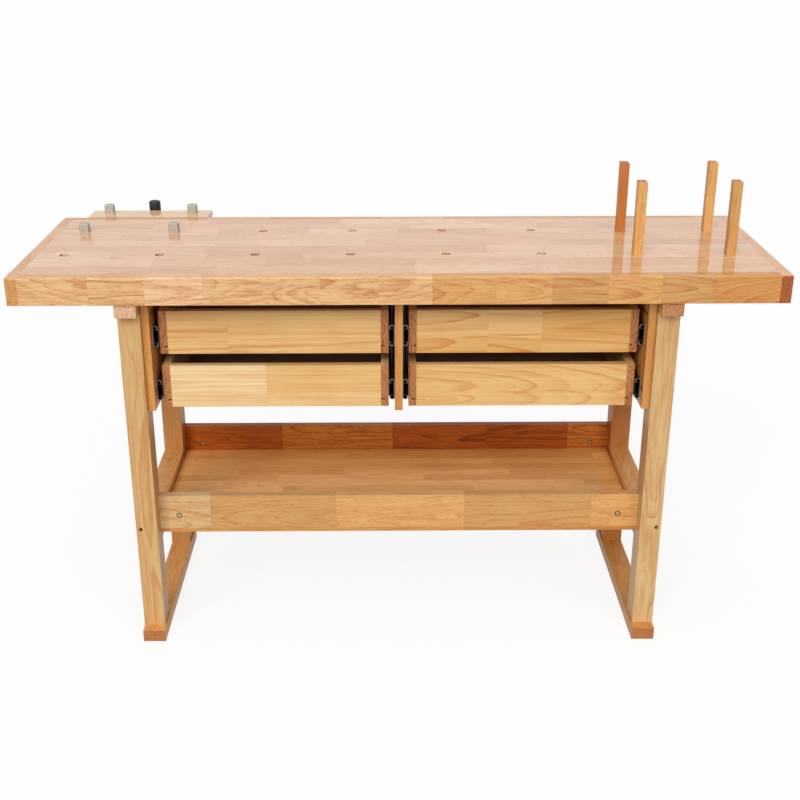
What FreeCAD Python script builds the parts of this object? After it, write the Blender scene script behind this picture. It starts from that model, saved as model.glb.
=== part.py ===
import FreeCAD, Part
import math
import os

# Joiner's workbench: a lipped top with dog holes, pegs and a rear vise, on two trestles
# that carry a shelf and a case of four drawers on ball bearing slides.
# Millimetres. X runs along the bench, Y from its front to its back, Z up from the floor.
# The origin lies on the floor at the middle of the whole bench, vise included.

# Fits and cuts
SHAFT_CLEARANCE = 0.05
FASTENER_CLEARANCE = 0.25
JOINERY_CLEARANCE = 0.2
PASSAGE_CLEARANCE = 1.0
CUT_OVERRUN = 2.0

# Top: a glued panel inside four aprons
TOP_LENGTH = 1543.0
TOP_DEPTH = 500.0
TOP_HEIGHT = 835.0
TOP_ROUNDING = 4.0
APRON_HEIGHT = 57.0
APRON_THICKNESS = 24.0
PANEL_THICKNESS = 25.0
DRILLED_STAVE_WIDTH = 50.0
FRONT_STAVES = 2
MIDDLE_STAVES = 3
REAR_STAVES = 2

# Dog holes, counted from the top's left end and front edge
HOLE_DIAMETER = 19.0
DOG_FIRST_INSET = 78.7
DOG_COLUMN_SPACING = 198.0
DOG_END_CLEAR = 400.0
DOG_ROW_SETBACK = 168.0
DOG_ROW_SPACING = 197.0

# Bench dogs
DOG_HEAD_DIAMETER = 23.5
DOG_HEAD_HEIGHT = 19.5
DOG_FLAT_OFFSET = 7.7
DOG_SHANK_LENGTH = 45.0
DOG_TOP_ROUNDING = 2.0

# Pegs, in holes a little ahead of the dog rows
PEG_WIDTH = 19.4
PEG_HEIGHT = 153.5
PEG_ROUNDING = 4.0
PEG_END_INSET = 86.5
PEG_COLUMN_SPACING = 192.0
PEG_ROW_LEAD = 13.0
PEG_TENON_RELIEF = 1.0

# Trestles
TRESTLE_SPREAD = 1128.0
FOOT_SETBACK = 6.3
FOOT_WIDTH = 49.0
FOOT_HEIGHT = 28.0
BEARER_WIDTH = 44.0
BEARER_HEIGHT = 29.0
LEG_WIDTH = 45.0
LEG_DEPTH = 56.0
LEG_SETBACK = 25.1
TENON_LENGTH = 14.0
TENON_WIDTH = 22.0
TENON_DEPTH = 36.0
SIDE_RAIL_HEIGHT = 60.0
SIDE_RAIL_RISE = 17.0

# Shelf
SHELF_HEIGHT = 264.0
SHELF_THICKNESS = 17.0
SHELF_END_GAP = 1.5
SHELF_GROOVE_DEPTH = 6.0
SHELF_RAIL_THICKNESS = 20.0
SHELF_RAIL_HEIGHT = 87.0
SHELF_RAIL_DROP = 23.0

# Frame bolts and barrel nuts
BOLT_DIAMETER = 5.0
BOLT_LENGTH = 84.0
BOLT_HEAD_DIAMETER = 8.5
BOLT_HEAD_HEIGHT = 5.0
BOLT_HEAD_SINK = 16.0
BOLT_HOLE_RELIEF = 3.0
BOLT_SOCKET_WIDTH = 4.0
BOLT_SOCKET_DEPTH = 2.5
RAIL_BOLT_RISE = 17.0
LEG_BOLT_RISE = 1.0
LEG_BOLT_INSET = 9.5
BARREL_NUT_DIAMETER = 12.0
BARREL_NUT_LENGTH = 16.0
BARREL_NUT_INSET = 43.0
NUT_SLOT_WIDTH = 1.6
NUT_SLOT_DEPTH = 2.0

# Wood screws
SCREW_SHANK_DIAMETER = 4.5
SCREW_LENGTH = 32.0
SCREW_HEAD_DIAMETER = 9.0
SCREW_HEAD_HEIGHT = 3.0
SCREW_HOLE_RELIEF = 2.0
SCREW_CROSS_SPAN = 5.4
SCREW_CROSS_WIDTH = 1.6
SCREW_CROSS_DEPTH = 2.2
CLEAT_SCREW_SINK = 14.0
BEARER_SCREW_SHARES = (0.4, 0.8)
DIVIDER_SCREW_INSET = 110.0
CASE_SCREW_SETBACK = 14.0
CASE_SCREW_INSET = 40.0
BASE_SCREW_INSET = 12.0
BASE_SCREW_SPACING = 16.0
PLATE_SCREW_INSET = 14.0
PLATE_SCREW_SPACING = 26.0

# Cleats under the panel
CLEAT_WIDTH = 44.0
CLEAT_ROD_GAP = 30.0

# Drawer case
CASE_THICKNESS = 16.0
CASE_HEIGHT = 242.0
CASE_SETBACK = 11.5
CASE_REAR_INSET = 8.7
DIVIDER_THICKNESS = 16.0

# Drawer slides: two lipped channels, one in the other, and a third in their mouths
SLIDE_HEIGHT = 45.0
SLIDE_THICKNESS = 12.7
SLIDE_LENGTH = 350.0
SLIDE_GAUGE = 1.2
SLIDE_RUN = 0.4
SLIDE_LIP = 8.0
SLIDE_ROUNDING_SHARE = 0.45
SLIDE_SETBACK = 27.0
SLIDE_RISE = 17.5

# Drawers
DRAWER_HEIGHT = 92.0
DRAWER_LENGTH = 360.0
DRAWER_PITCH = 118.0
DRAWER_DROP = 36.0
DRAWER_SETBACK = 33.0
DRAWER_BOARD = 16.0
DRAWER_BOTTOM_THICKNESS = 5.0
DRAWER_BOTTOM_RISE = 12.0
DRAWER_GROOVE_DEPTH = 8.0

# Vise
VISE_OFFSET = 16.8
JAW_WIDTH = 282.0
JAW_THICKNESS = 70.0
JAW_HEIGHT = 90.0
JAW_SHUT_GAP = 0.3
JAW_ROUNDING = 4.0
JAW_DOG_SPACING = 194.0
JAW_DOG_SETBACK = 45.0
ROD_DIAMETER = 16.0
ROD_SPACING = 120.0
ROD_REACH = 200.0
VISE_SCREW_DIAMETER = 20.0
VISE_SCREW_REACH = 205.0
VISE_PLATE_THICKNESS = 8.0
VISE_PLATE_WIDTH = 180.0
VISE_PLATE_HEIGHT = 50.0
BASE_CLEARANCE = 1.0
BASE_WIDTH = 190.0
BASE_PLATE_THICKNESS = 12.0
BASE_NUT_LENGTH = 34.0
BASE_NUT_WIDTH = 44.0
BASE_BUSH_LENGTH = 24.0
BASE_BUSH_WIDTH = 28.0
VISE_HEAD_DIAMETER = 40.0
VISE_HEAD_LENGTH = 34.0
VISE_HEAD_GAP = 0.3
VISE_HEAD_ROUNDING = 3.0
COLLAR_DIAMETER = 32.0
COLLAR_THICKNESS = 6.0
COLLAR_PLAY = 0.5
HANDLE_DIAMETER = 12.0
HANDLE_LENGTH = 200.0
HANDLE_CAP_DIAMETER = 27.0
HANDLE_CAP_LENGTH = 38.0
HANDLE_CAP_SEAT = 25.0
HANDLE_CAP_ROUNDING = 5.0
HANDLE_STOP_GAP = 0.3

SIDES = {"left": -1, "right": 1}
LEVELS = {"upper": 0, "lower": 1}

# Planes of the top
jaw_rear_reach = JAW_SHUT_GAP + JAW_THICKNESS
head_front_reach = jaw_rear_reach + VISE_PLATE_THICKNESS + VISE_HEAD_GAP
overall_depth = TOP_DEPTH + head_front_reach + VISE_HEAD_LENGTH
top_front = -overall_depth / 2
top_rear = top_front + TOP_DEPTH
top_end = TOP_LENGTH / 2
panel_end = top_end - APRON_THICKNESS
panel_front = top_front + APRON_THICKNESS
panel_rear = top_rear - APRON_THICKNESS
apron_bottom = TOP_HEIGHT - APRON_HEIGHT
panel_bottom = TOP_HEIGHT - PANEL_THICKNESS

# Hole places in the top
dog_rows = [top_front + DOG_ROW_SETBACK, top_front + DOG_ROW_SETBACK + DOG_ROW_SPACING]
dog_count = 1 + int((TOP_LENGTH - DOG_FIRST_INSET - DOG_END_CLEAR) / DOG_COLUMN_SPACING)
dog_columns = [-top_end + DOG_FIRST_INSET + i * DOG_COLUMN_SPACING for i in range(dog_count)]
peg_columns = [top_end - PEG_END_INSET - PEG_COLUMN_SPACING, top_end - PEG_END_INSET]
peg_rows = [row - PEG_ROW_LEAD for row in dog_rows]
drilled_stave_rows = [row - PEG_ROW_LEAD / 2 for row in dog_rows]
hole_radius = HOLE_DIAMETER / 2
shank_radius = hole_radius - SHAFT_CLEARANCE

# Planes of the trestles
trestle_face = TRESTLE_SPREAD / 2
leg_inner = trestle_face - LEG_WIDTH
foot_front = top_front + FOOT_SETBACK
foot_rear = top_rear - FOOT_SETBACK
front_leg = (foot_front + LEG_SETBACK, foot_front + LEG_SETBACK + LEG_DEPTH)
rear_leg = (foot_rear - LEG_SETBACK - LEG_DEPTH, foot_rear - LEG_SETBACK)
bearer_bottom = apron_bottom - BEARER_HEIGHT
side_rail_top = SHELF_HEIGHT + SIDE_RAIL_RISE
side_rail_bottom = side_rail_top - SIDE_RAIL_HEIGHT

# Planes of the shelf and its fasteners
shelf_bottom = SHELF_HEIGHT - SHELF_THICKNESS
shelf_rail_bottom = SHELF_HEIGHT - SHELF_RAIL_DROP
shelf_rail_top = shelf_rail_bottom + SHELF_RAIL_HEIGHT
front_rail = (front_leg[1] - SHELF_RAIL_THICKNESS, front_leg[1])
rear_rail = (rear_leg[1] - SHELF_RAIL_THICKNESS, rear_leg[1])
rail_bolt_z = SHELF_HEIGHT + RAIL_BOLT_RISE
leg_bolt_z = SHELF_HEIGHT + LEG_BOLT_RISE
leg_bolt_x = trestle_face - LEG_BOLT_INSET
barrel_nut_x = leg_inner - BARREL_NUT_INSET

# Planes of the drawer case, its slides and drawers
case_inner = leg_inner - CASE_THICKNESS
case_front = front_leg[0] + CASE_SETBACK
case_rear = rear_leg[1] - CASE_REAR_INSET
case_bottom = apron_bottom - CASE_HEIGHT
divider_face = DIVIDER_THICKNESS / 2
drawer_near = divider_face + SLIDE_THICKNESS
drawer_far = case_inner - SLIDE_THICKNESS
drawer_front = case_front + DRAWER_SETBACK
drawer_rear = drawer_front + DRAWER_LENGTH
slide_front = case_front + SLIDE_SETBACK
slide_rear = slide_front + SLIDE_LENGTH
slide_step = SLIDE_GAUGE + SLIDE_RUN
slide_width = SLIDE_THICKNESS - slide_step
slide_rounding = SLIDE_ROUNDING_SHARE * slide_width

# Planes and axis of the vise
vise_x = (dog_columns[0] + dog_columns[1]) / 2 + VISE_OFFSET
vise_z = (apron_bottom + panel_bottom) / 2
jaw_front = top_rear + JAW_SHUT_GAP
jaw_rear = top_rear + jaw_rear_reach
plate_rear = jaw_rear + VISE_PLATE_THICKNESS
head_front = top_rear + head_front_reach
head_rear = head_front + VISE_HEAD_LENGTH
handle_y = (head_front + head_rear) / 2
rod_inner_end = top_rear - ROD_REACH
rod_places = [vise_x - ROD_SPACING / 2, vise_x + ROD_SPACING / 2]
jaw_dog_columns = [vise_x - JAW_DOG_SPACING / 2, vise_x + JAW_DOG_SPACING / 2]
jaw_dog_y = jaw_front + JAW_DOG_SETBACK
cleat_rear = rod_inner_end - CLEAT_ROD_GAP


def box(x_span, y_span, z_span):
    """Box between the two values of each span, given in either order."""
    spans = [sorted(span) for span in (x_span, y_span, z_span)]
    low = FreeCAD.Vector(*[span[0] for span in spans])
    return Part.makeBox(*[span[1] - span[0] for span in spans], low)


def rod(radius, start, end):
    """Round bar between two points."""
    start = FreeCAD.Vector(*start)
    run = FreeCAD.Vector(*end) - start
    return Part.makeCylinder(radius, run.Length, start, run)


def along(point, direction, distance):
    """Point at a distance from another in a unit direction."""
    return [p + distance * d for p, d in zip(point, direction)]


def group(solids):
    return Part.makeCompound(solids)


def edges_at(shape, x=None, y=None, z=None):
    """Straight edges that lie whole on the given planes."""
    tolerance = SHAFT_CLEARANCE
    found = []
    for edge in shape.Edges:
        ends = [vertex.Point for vertex in edge.Vertexes]
        on_x = x is None or all(abs(p.x - x) < tolerance for p in ends)
        on_y = y is None or all(abs(p.y - y) < tolerance for p in ends)
        on_z = z is None or all(abs(p.z - z) < tolerance for p in ends)
        if on_x and on_y and on_z:
            found.append(edge)
    return found


def rounded_bar(x_span, y_span, z_span, radius):
    """Bar with its four edges along Y rounded."""
    bar = box(x_span, y_span, z_span)
    return bar.makeFillet(radius, [edge for x in x_span for z in z_span for edge in edges_at(bar, x=x, z=z)])


def wood_screw(point, direction, clearance=0, relief=0, sink=0):
    """Screw whose head lies flush at a point, or the hole for it when it has clearance and relief."""
    face = along(point, direction, -sink)
    seat = along(point, direction, SCREW_HEAD_HEIGHT)
    tip = along(point, direction, SCREW_LENGTH + relief)
    head = rod(SCREW_HEAD_DIAMETER / 2 + clearance, face, seat)
    shank = rod(SCREW_SHANK_DIAMETER / 2 + clearance, point, tip)
    return head.fuse(shank).removeSplitter()


def driver_slot(point, direction, run, span, width, depth):
    """Slot cut into a head at a point, along a unit run across the head's direction."""
    across = FreeCAD.Vector(*direction).cross(FreeCAD.Vector(*run))
    near = along(along(point, run, -span / 2), across, -width / 2)
    far = along(along(point, run, span / 2), across, width / 2)
    return box(*zip(near, along(far, direction, depth)))


def crossed_wood_screw(point, direction):
    """Wood screw with a cross recess in its head."""
    upright = (direction[2], direction[0], direction[1])
    level = FreeCAD.Vector(*direction).cross(FreeCAD.Vector(*upright))
    sizes = (SCREW_CROSS_SPAN, SCREW_CROSS_WIDTH, SCREW_CROSS_DEPTH)
    return wood_screw(point, direction).cut([driver_slot(point, direction, run, *sizes) for run in (upright, level)])


def wood_screw_hole(point, direction):
    return wood_screw(point, direction, FASTENER_CLEARANCE, SCREW_HOLE_RELIEF, CUT_OVERRUN)


def sunk_screw_hole(point, direction):
    """Hole of a screw whose head lies below the face by the cleat screws' sink."""
    return wood_screw(point, direction, FASTENER_CLEARANCE, SCREW_HOLE_RELIEF, CLEAT_SCREW_SINK + CUT_OVERRUN)


def hex_socket(crown, direction):
    """Six-sided recess in a level bolt's head."""
    upright = FreeCAD.Vector(0, 0, 1)
    level = FreeCAD.Vector(*direction).cross(upright)
    radius = BOLT_SOCKET_WIDTH / math.sqrt(3)
    corners = []
    for i in range(7):
        angle = i * math.pi / 3
        corners.append(FreeCAD.Vector(*crown) + (upright * math.cos(angle) + level * math.sin(angle)) * radius)
    outline = Part.Face(Part.makePolygon(corners))
    return outline.extrude(FreeCAD.Vector(*direction) * BOLT_SOCKET_DEPTH)


def frame_bolt(face_point, direction):
    """Bolt whose head is seated below a face by the head sink."""
    seat = along(face_point, direction, BOLT_HEAD_SINK)
    crown = along(seat, direction, -BOLT_HEAD_HEIGHT)
    head = rod(BOLT_HEAD_DIAMETER / 2, crown, seat)
    shank = rod(BOLT_DIAMETER / 2, crown, along(seat, direction, BOLT_LENGTH))
    return head.fuse(shank).removeSplitter().cut(hex_socket(crown, direction))


def frame_bolt_hole(face_point, direction):
    seat = along(face_point, direction, BOLT_HEAD_SINK)
    end = along(seat, direction, BOLT_LENGTH + BOLT_HOLE_RELIEF)
    outside = along(face_point, direction, -CUT_OVERRUN)
    counterbore = rod(BOLT_HEAD_DIAMETER / 2 + FASTENER_CLEARANCE, outside, seat)
    return counterbore.fuse(rod(BOLT_DIAMETER / 2 + FASTENER_CLEARANCE, outside, end))


def rail_bolt_places():
    """Face points and directions of the bolts through the legs into the shelf rails."""
    rows = [sum(front_rail) / 2, sum(rear_rail) / 2]
    return [((s * trestle_face, y, rail_bolt_z), (-s, 0, 0)) for s in SIDES.values() for y in rows]


def leg_bolt_places():
    """Face points and directions of the bolts through the legs into the side rails."""
    rows = [(front_leg[0], 1), (rear_leg[1], -1)]
    return [((s * leg_bolt_x, y, leg_bolt_z), (0, d, 0)) for s in SIDES.values() for y, d in rows]


def case_screw_places():
    rows = [case_front + CASE_SCREW_SETBACK, case_rear - CASE_SCREW_SETBACK]
    heights = [case_bottom + CASE_SCREW_INSET, apron_bottom - CASE_SCREW_INSET]
    sides = SIDES.values()
    return [((s * case_inner, y, z), (s, 0, 0)) for s in sides for y in rows for z in heights]


def bearer_screw_places():
    """Screws from deep in the bearers up into the side cleats."""
    x = trestle_face - BEARER_WIDTH / 2
    rows = [panel_front + share * (cleat_rear - panel_front) for share in BEARER_SCREW_SHARES]
    z = bearer_bottom + CLEAT_SCREW_SINK
    return [((s * x, y, z), (0, 0, 1)) for s in SIDES.values() for y in rows]


def divider_screw_places():
    """Screws from deep in the centre cleat down into the divider."""
    rows = [case_front + DIVIDER_SCREW_INSET, case_rear - DIVIDER_SCREW_INSET]
    return [((0, y, panel_bottom - CLEAT_SCREW_SINK), (0, 0, -1)) for y in rows]


def base_screw_places():
    x_offset = BASE_WIDTH / 2 - BASE_SCREW_INSET
    y = panel_rear - BASE_PLATE_THICKNESS
    offsets = [(x, z) for x in (-x_offset, x_offset) for z in (-BASE_SCREW_SPACING / 2, BASE_SCREW_SPACING / 2)]
    return [((vise_x + x, y, vise_z + z), (0, 1, 0)) for x, z in offsets]


def plate_screw_places():
    x_offset = VISE_PLATE_WIDTH / 2 - PLATE_SCREW_INSET
    z_offset = PLATE_SCREW_SPACING / 2
    offsets = [(x, z) for x in (-x_offset, x_offset) for z in (-z_offset, z_offset)]
    return [((vise_x + x, plate_rear, vise_z + z), (0, -1, 0)) for x, z in offsets]


# Top

def top_staves():
    """Plain staves of the panel, in three zones beside the drilled ones."""
    half = DRILLED_STAVE_WIDTH / 2
    edges = [panel_front]
    for row in drilled_stave_rows:
        edges += [row - half, row + half]
    edges.append(panel_rear)
    zones = zip(edges[0::2], edges[1::2], (FRONT_STAVES, MIDDLE_STAVES, REAR_STAVES))
    staves = []
    for low, high, count in zones:
        width = (high - low) / count
        for i in range(count):
            span = (low + i * width, low + (i + 1) * width)
            staves.append(box((-panel_end, panel_end), span, (panel_bottom, TOP_HEIGHT)))
    return group(staves)


def dog_blocks():
    """Drilled staves, built up of blocks with one hole each."""
    blocks = []
    half = DRILLED_STAVE_WIDTH / 2
    columns = dog_columns + peg_columns
    joints = [(a + b) / 2 for a, b in zip(columns, columns[1:])]
    ends = [-panel_end] + joints + [panel_end]
    for stave, dog_row, peg_row in zip(drilled_stave_rows, dog_rows, peg_rows):
        for i, x in enumerate(columns):
            y = dog_row if x in dog_columns else peg_row
            block = box((ends[i], ends[i + 1]), (stave - half, stave + half), (panel_bottom, TOP_HEIGHT))
            low = (x, y, panel_bottom - CUT_OVERRUN)
            high = (x, y, TOP_HEIGHT + CUT_OVERRUN)
            blocks.append(block.cut(rod(hole_radius, low, high)))
    return group(blocks)


def front_apron():
    apron = box((-panel_end, panel_end), (top_front, panel_front), (apron_bottom, TOP_HEIGHT))
    return apron.makeFillet(TOP_ROUNDING, edges_at(apron, y=top_front, z=TOP_HEIGHT))


def rear_apron():
    """Rear apron with passages for the vise screw, its guide rods and the base's screws."""
    apron = box((-panel_end, panel_end), (panel_rear, top_rear), (apron_bottom, TOP_HEIGHT))
    apron = apron.makeFillet(TOP_ROUNDING, edges_at(apron, y=top_rear, z=TOP_HEIGHT))
    passages = [(vise_x, VISE_SCREW_DIAMETER)] + [(x, ROD_DIAMETER) for x in rod_places]
    for x, diameter in passages:
        start = (x, panel_rear - CUT_OVERRUN, vise_z)
        end = (x, top_rear + CUT_OVERRUN, vise_z)
        apron = apron.cut(rod(diameter / 2 + PASSAGE_CLEARANCE, start, end))
    return apron.cut([wood_screw_hole(*place) for place in base_screw_places()])


def end_aprons():
    """End aprons, which run the whole depth with rounded outer corners."""
    aprons = []
    for side in SIDES.values():
        outer = side * top_end
        apron = box((side * panel_end, outer), (top_front, top_rear), (apron_bottom, TOP_HEIGHT))
        rounded = edges_at(apron, x=outer, z=TOP_HEIGHT)
        for end in (top_front, top_rear):
            rounded += edges_at(apron, y=end, z=TOP_HEIGHT)
            rounded += edges_at(apron, x=outer, y=end)
        aprons.append(apron.makeFillet(TOP_ROUNDING, rounded))
    return group(aprons)


def top_cleats():
    """Cleats under the panel: over each bearer, short of the vise, and over the divider."""
    height = (apron_bottom, panel_bottom)
    cleats = []
    for side in SIDES.values():
        span = (side * trestle_face, side * (trestle_face - CLEAT_WIDTH))
        cleats.append(box(span, (panel_front, cleat_rear), height))
    cleats.append(box((-CLEAT_WIDTH / 2, CLEAT_WIDTH / 2), (panel_front, panel_rear), height))
    holes = [sunk_screw_hole(*place) for place in bearer_screw_places() + divider_screw_places()]
    return group([cleat.cut(holes) for cleat in cleats])


# Trestles

def tenon(side, leg, shoulder, direction, clearance=0):
    """Stub tenon on a leg's end, or its mortise when it has clearance."""
    x = side * (leg_inner + trestle_face) / 2
    y = sum(leg) / 2
    half_x = TENON_WIDTH / 2 + clearance
    half_y = TENON_DEPTH / 2 + clearance
    tip = shoulder + direction * (TENON_LENGTH + clearance)
    return box((x - half_x, x + half_x), (y - half_y, y + half_y), (shoulder, tip))


def tenon_ends():
    """Shoulder heights of the legs, with the direction in which each tenon points."""
    return [(FOOT_HEIGHT, -1), (bearer_bottom, 1)]


def legs():
    pieces = []
    holes = [frame_bolt_hole(*place) for place in rail_bolt_places() + leg_bolt_places()]
    holes += [wood_screw_hole(*place) for place in case_screw_places()]
    for side in SIDES.values():
        for span in (front_leg, rear_leg):
            leg = box((side * leg_inner, side * trestle_face), span, (FOOT_HEIGHT, bearer_bottom))
            leg = leg.fuse([tenon(side, span, *end) for end in tenon_ends()]).removeSplitter()
            pieces.append(leg.cut(holes))
    return group(pieces)


def feet():
    pieces = []
    for side in SIDES.values():
        x_span = (side * trestle_face, side * (trestle_face - FOOT_WIDTH))
        foot = box(x_span, (foot_front, foot_rear), (0, FOOT_HEIGHT))
        mortises = [tenon(side, leg, FOOT_HEIGHT, -1, JOINERY_CLEARANCE) for leg in (front_leg, rear_leg)]
        pieces.append(foot.cut(mortises))
    return group(pieces)


def bearers():
    pieces = []
    holes = [sunk_screw_hole(*place) for place in bearer_screw_places()]
    for side in SIDES.values():
        x_span = (side * trestle_face, side * (trestle_face - BEARER_WIDTH))
        bearer = box(x_span, (foot_front, foot_rear), (bearer_bottom, apron_bottom))
        mortises = [tenon(side, leg, bearer_bottom, 1, JOINERY_CLEARANCE) for leg in (front_leg, rear_leg)]
        pieces.append(bearer.cut(mortises + holes))
    return group(pieces)


def side_rails():
    """Rails between the legs of each trestle, at the height of the shelf."""
    holes = [frame_bolt_hole(*place) for place in leg_bolt_places()]
    rails = []
    for side in SIDES.values():
        x_span = (side * leg_inner, side * trestle_face)
        rail = box(x_span, (front_leg[1], rear_leg[0]), (side_rail_bottom, side_rail_top))
        rails.append(rail.cut(holes))
    return group(rails)


# Shelf

def barrel_nut(side, rail, clearance=0):
    """Barrel nut let into the front face of a shelf rail, or its hole when it has clearance."""
    start = (side * barrel_nut_x, rail[0], rail_bolt_z)
    end = (side * barrel_nut_x, rail[0] + BARREL_NUT_LENGTH + clearance, rail_bolt_z)
    return rod(BARREL_NUT_DIAMETER / 2 + clearance, start, end)


def barrel_nuts():
    """Barrel nuts with a driver slot that lines them up with their bolts."""
    cuts = [frame_bolt_hole(*place) for place in rail_bolt_places()]
    nuts = []
    for side in SIDES.values():
        for rail in (front_rail, rear_rail):
            face = (side * barrel_nut_x, rail[0], rail_bolt_z)
            sizes = (BARREL_NUT_DIAMETER, NUT_SLOT_WIDTH, NUT_SLOT_DEPTH)
            slot = driver_slot(face, (0, 1, 0), (1, 0, 0), *sizes)
            nuts.append(barrel_nut(side, rail).cut(cuts + [slot]))
    return group(nuts)


def shelf_rail(rail, inner, direction):
    """Rail with a groove for the shelf in its inner face and holes for its bolts and nuts."""
    piece = box((-leg_inner, leg_inner), rail, (shelf_rail_bottom, shelf_rail_top))
    groove_end = inner - direction * SHELF_GROOVE_DEPTH
    groove_z = (shelf_bottom, SHELF_HEIGHT + JOINERY_CLEARANCE)
    groove = box((-leg_inner, leg_inner), (inner, groove_end), groove_z)
    holes = [frame_bolt_hole(*place) for place in rail_bolt_places()]
    holes += [barrel_nut(side, rail, FASTENER_CLEARANCE) for side in SIDES.values()]
    return piece.cut([groove] + holes)


def shelf_front_rail():
    return shelf_rail(front_rail, front_rail[1], 1)


def shelf_rear_rail():
    return shelf_rail(rear_rail, rear_rail[0], -1)


def shelf_board():
    reach = SHELF_GROOVE_DEPTH - JOINERY_CLEARANCE
    end = leg_inner - SHELF_END_GAP
    return box((-end, end), (front_rail[1] - reach, rear_rail[0] + reach), (shelf_bottom, SHELF_HEIGHT))


# Drawer case

def case_sides():
    holes = [wood_screw_hole(*place) for place in case_screw_places()]
    panels = []
    for side in SIDES.values():
        panel = box((side * case_inner, side * leg_inner), (case_front, case_rear), (case_bottom, apron_bottom))
        panels.append(panel.cut(holes))
    return group(panels)


def centre_divider():
    panel = box((-divider_face, divider_face), (case_front, case_rear), (case_bottom, apron_bottom))
    return panel.cut([sunk_screw_hole(*place) for place in divider_screw_places()])


# Slides

def drawer_bottom_edge(level):
    """Height of a drawer's lower edge."""
    return apron_bottom - DRAWER_DROP - DRAWER_HEIGHT - LEVELS[level] * DRAWER_PITCH


def slide_bottom_edge(level):
    """Height of a slide's lower edge."""
    return drawer_bottom_edge(level) + SLIDE_RISE


def lipped_channel(wall, inward, level, inset):
    """Rounded tube with a mouth towards the drawer, inset from the outer member's skin."""
    low = slide_bottom_edge(level)
    high = low + SLIDE_HEIGHT
    y_span = (slide_front, slide_rear)
    near = wall + inward * inset
    far = wall + inward * (slide_width - inset)
    sheet = inward * SLIDE_GAUGE
    radius = slide_rounding - inset
    skin = rounded_bar((near, far), y_span, (low + inset, high - inset), radius)
    hollow_z = (low + inset + SLIDE_GAUGE, high - inset - SLIDE_GAUGE)
    hollow = rounded_bar((near + sheet, far - sheet), y_span, hollow_z, radius - SLIDE_GAUGE)
    mouth = box(((near + far) / 2, far), y_span, (low + SLIDE_LIP, high - SLIDE_LIP))
    return skin.cut([hollow, mouth])


def slide_walls(side):
    """Faces that carry a drawer's two slides, with the direction from each to the drawer."""
    direction = SIDES[side]
    return [(direction * divider_face, direction), (direction * case_inner, -direction)]


def outer_member(wall, inward, level):
    return lipped_channel(wall, inward, level, 0)


def middle_member(wall, inward, level):
    return lipped_channel(wall, inward, level, slide_step)


def inner_member(wall, inward, level):
    """Channel on the drawer's side that runs in the mouths of the other two."""
    margin = SLIDE_LIP + SLIDE_RUN
    low = slide_bottom_edge(level) + margin
    high = slide_bottom_edge(level) + SLIDE_HEIGHT - margin
    y_span = (slide_front, slide_rear)
    near = wall + inward * 2 * slide_step
    far = wall + inward * SLIDE_THICKNESS
    hollow_x = (near, far - inward * SLIDE_GAUGE)
    hollow = box(hollow_x, y_span, (low + SLIDE_GAUGE, high - SLIDE_GAUGE))
    return box((near, far), y_span, (low, high)).cut(hollow)


def slide_outer_members():
    places = [(wall, level) for side in SIDES for level in LEVELS for wall in slide_walls(side)]
    return group([outer_member(*wall, level) for wall, level in places])


# Drawers

def drawer_pieces(side, level):
    """Pieces of one drawer by name, with the members of its slides."""
    direction = SIDES[side]
    low = drawer_bottom_edge(level)
    high = low + DRAWER_HEIGHT
    inner_near = drawer_near + DRAWER_BOARD
    inner_far = drawer_far - DRAWER_BOARD
    length = (drawer_front, drawer_rear)
    bottom_z = (low + DRAWER_BOTTOM_RISE, low + DRAWER_BOTTOM_RISE + DRAWER_BOTTOM_THICKNESS)
    groove_z = (bottom_z[0], bottom_z[1] + JOINERY_CLEARANCE)
    groove_x = (direction * (inner_near - DRAWER_GROOVE_DEPTH), direction * (inner_far + DRAWER_GROOVE_DEPTH))
    front_inner = drawer_front + DRAWER_BOARD
    back_inner = drawer_rear - DRAWER_BOARD
    groove_front = front_inner - DRAWER_GROOVE_DEPTH
    side_groove = box(groove_x, (drawer_front, drawer_rear), groove_z)
    front_groove = box(groove_x, (groove_front, front_inner), groove_z)
    width = (direction * inner_near, direction * inner_far)
    side_spans = [(drawer_near, inner_near), (inner_far, drawer_far)]
    sides = [box((direction * a, direction * b), length, (low, high)).cut(side_groove) for a, b in side_spans]
    fit = JOINERY_CLEARANCE
    bottom_x = (groove_x[0] + direction * fit, groove_x[1] - direction * fit)
    walls = slide_walls(side)
    return {
        "front": box(width, (drawer_front, front_inner), (low, high)).cut(front_groove),
        "back": box(width, (back_inner, drawer_rear), (groove_z[1], high)),
        "sides": group(sides),
        "bottom": box(bottom_x, (groove_front + fit, drawer_rear), bottom_z),
        "slide_inner_members": group([inner_member(*wall, level) for wall in walls]),
        "slide_middle_members": group([middle_member(*wall, level) for wall in walls]),
    }


# Vise

def vise_base():
    """Iron base on the inside of the rear apron: plate, nut and two bushes in one casting."""
    z_span = (apron_bottom + BASE_CLEARANCE, panel_bottom - BASE_CLEARANCE)
    plate_front = panel_rear - BASE_PLATE_THICKNESS
    half = BASE_WIDTH / 2
    base = box((vise_x - half, vise_x + half), (plate_front, panel_rear), z_span)
    lugs = [(vise_x, BASE_NUT_WIDTH, BASE_NUT_LENGTH)]
    lugs += [(x, BASE_BUSH_WIDTH, BASE_BUSH_LENGTH) for x in rod_places]
    for x, width, length in lugs:
        base = base.fuse(box((x - width / 2, x + width / 2), (plate_front - length, plate_front), z_span))
    base = base.removeSplitter()
    front = plate_front - BASE_NUT_LENGTH - CUT_OVERRUN
    bores = [(vise_x, VISE_SCREW_DIAMETER)] + [(x, ROD_DIAMETER) for x in rod_places]
    for x, diameter in bores:
        start = (x, front, vise_z)
        end = (x, panel_rear + CUT_OVERRUN, vise_z)
        base = base.cut(rod(diameter / 2 + SHAFT_CLEARANCE, start, end))
    return base.cut([wood_screw_hole(*place) for place in base_screw_places()])


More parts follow.
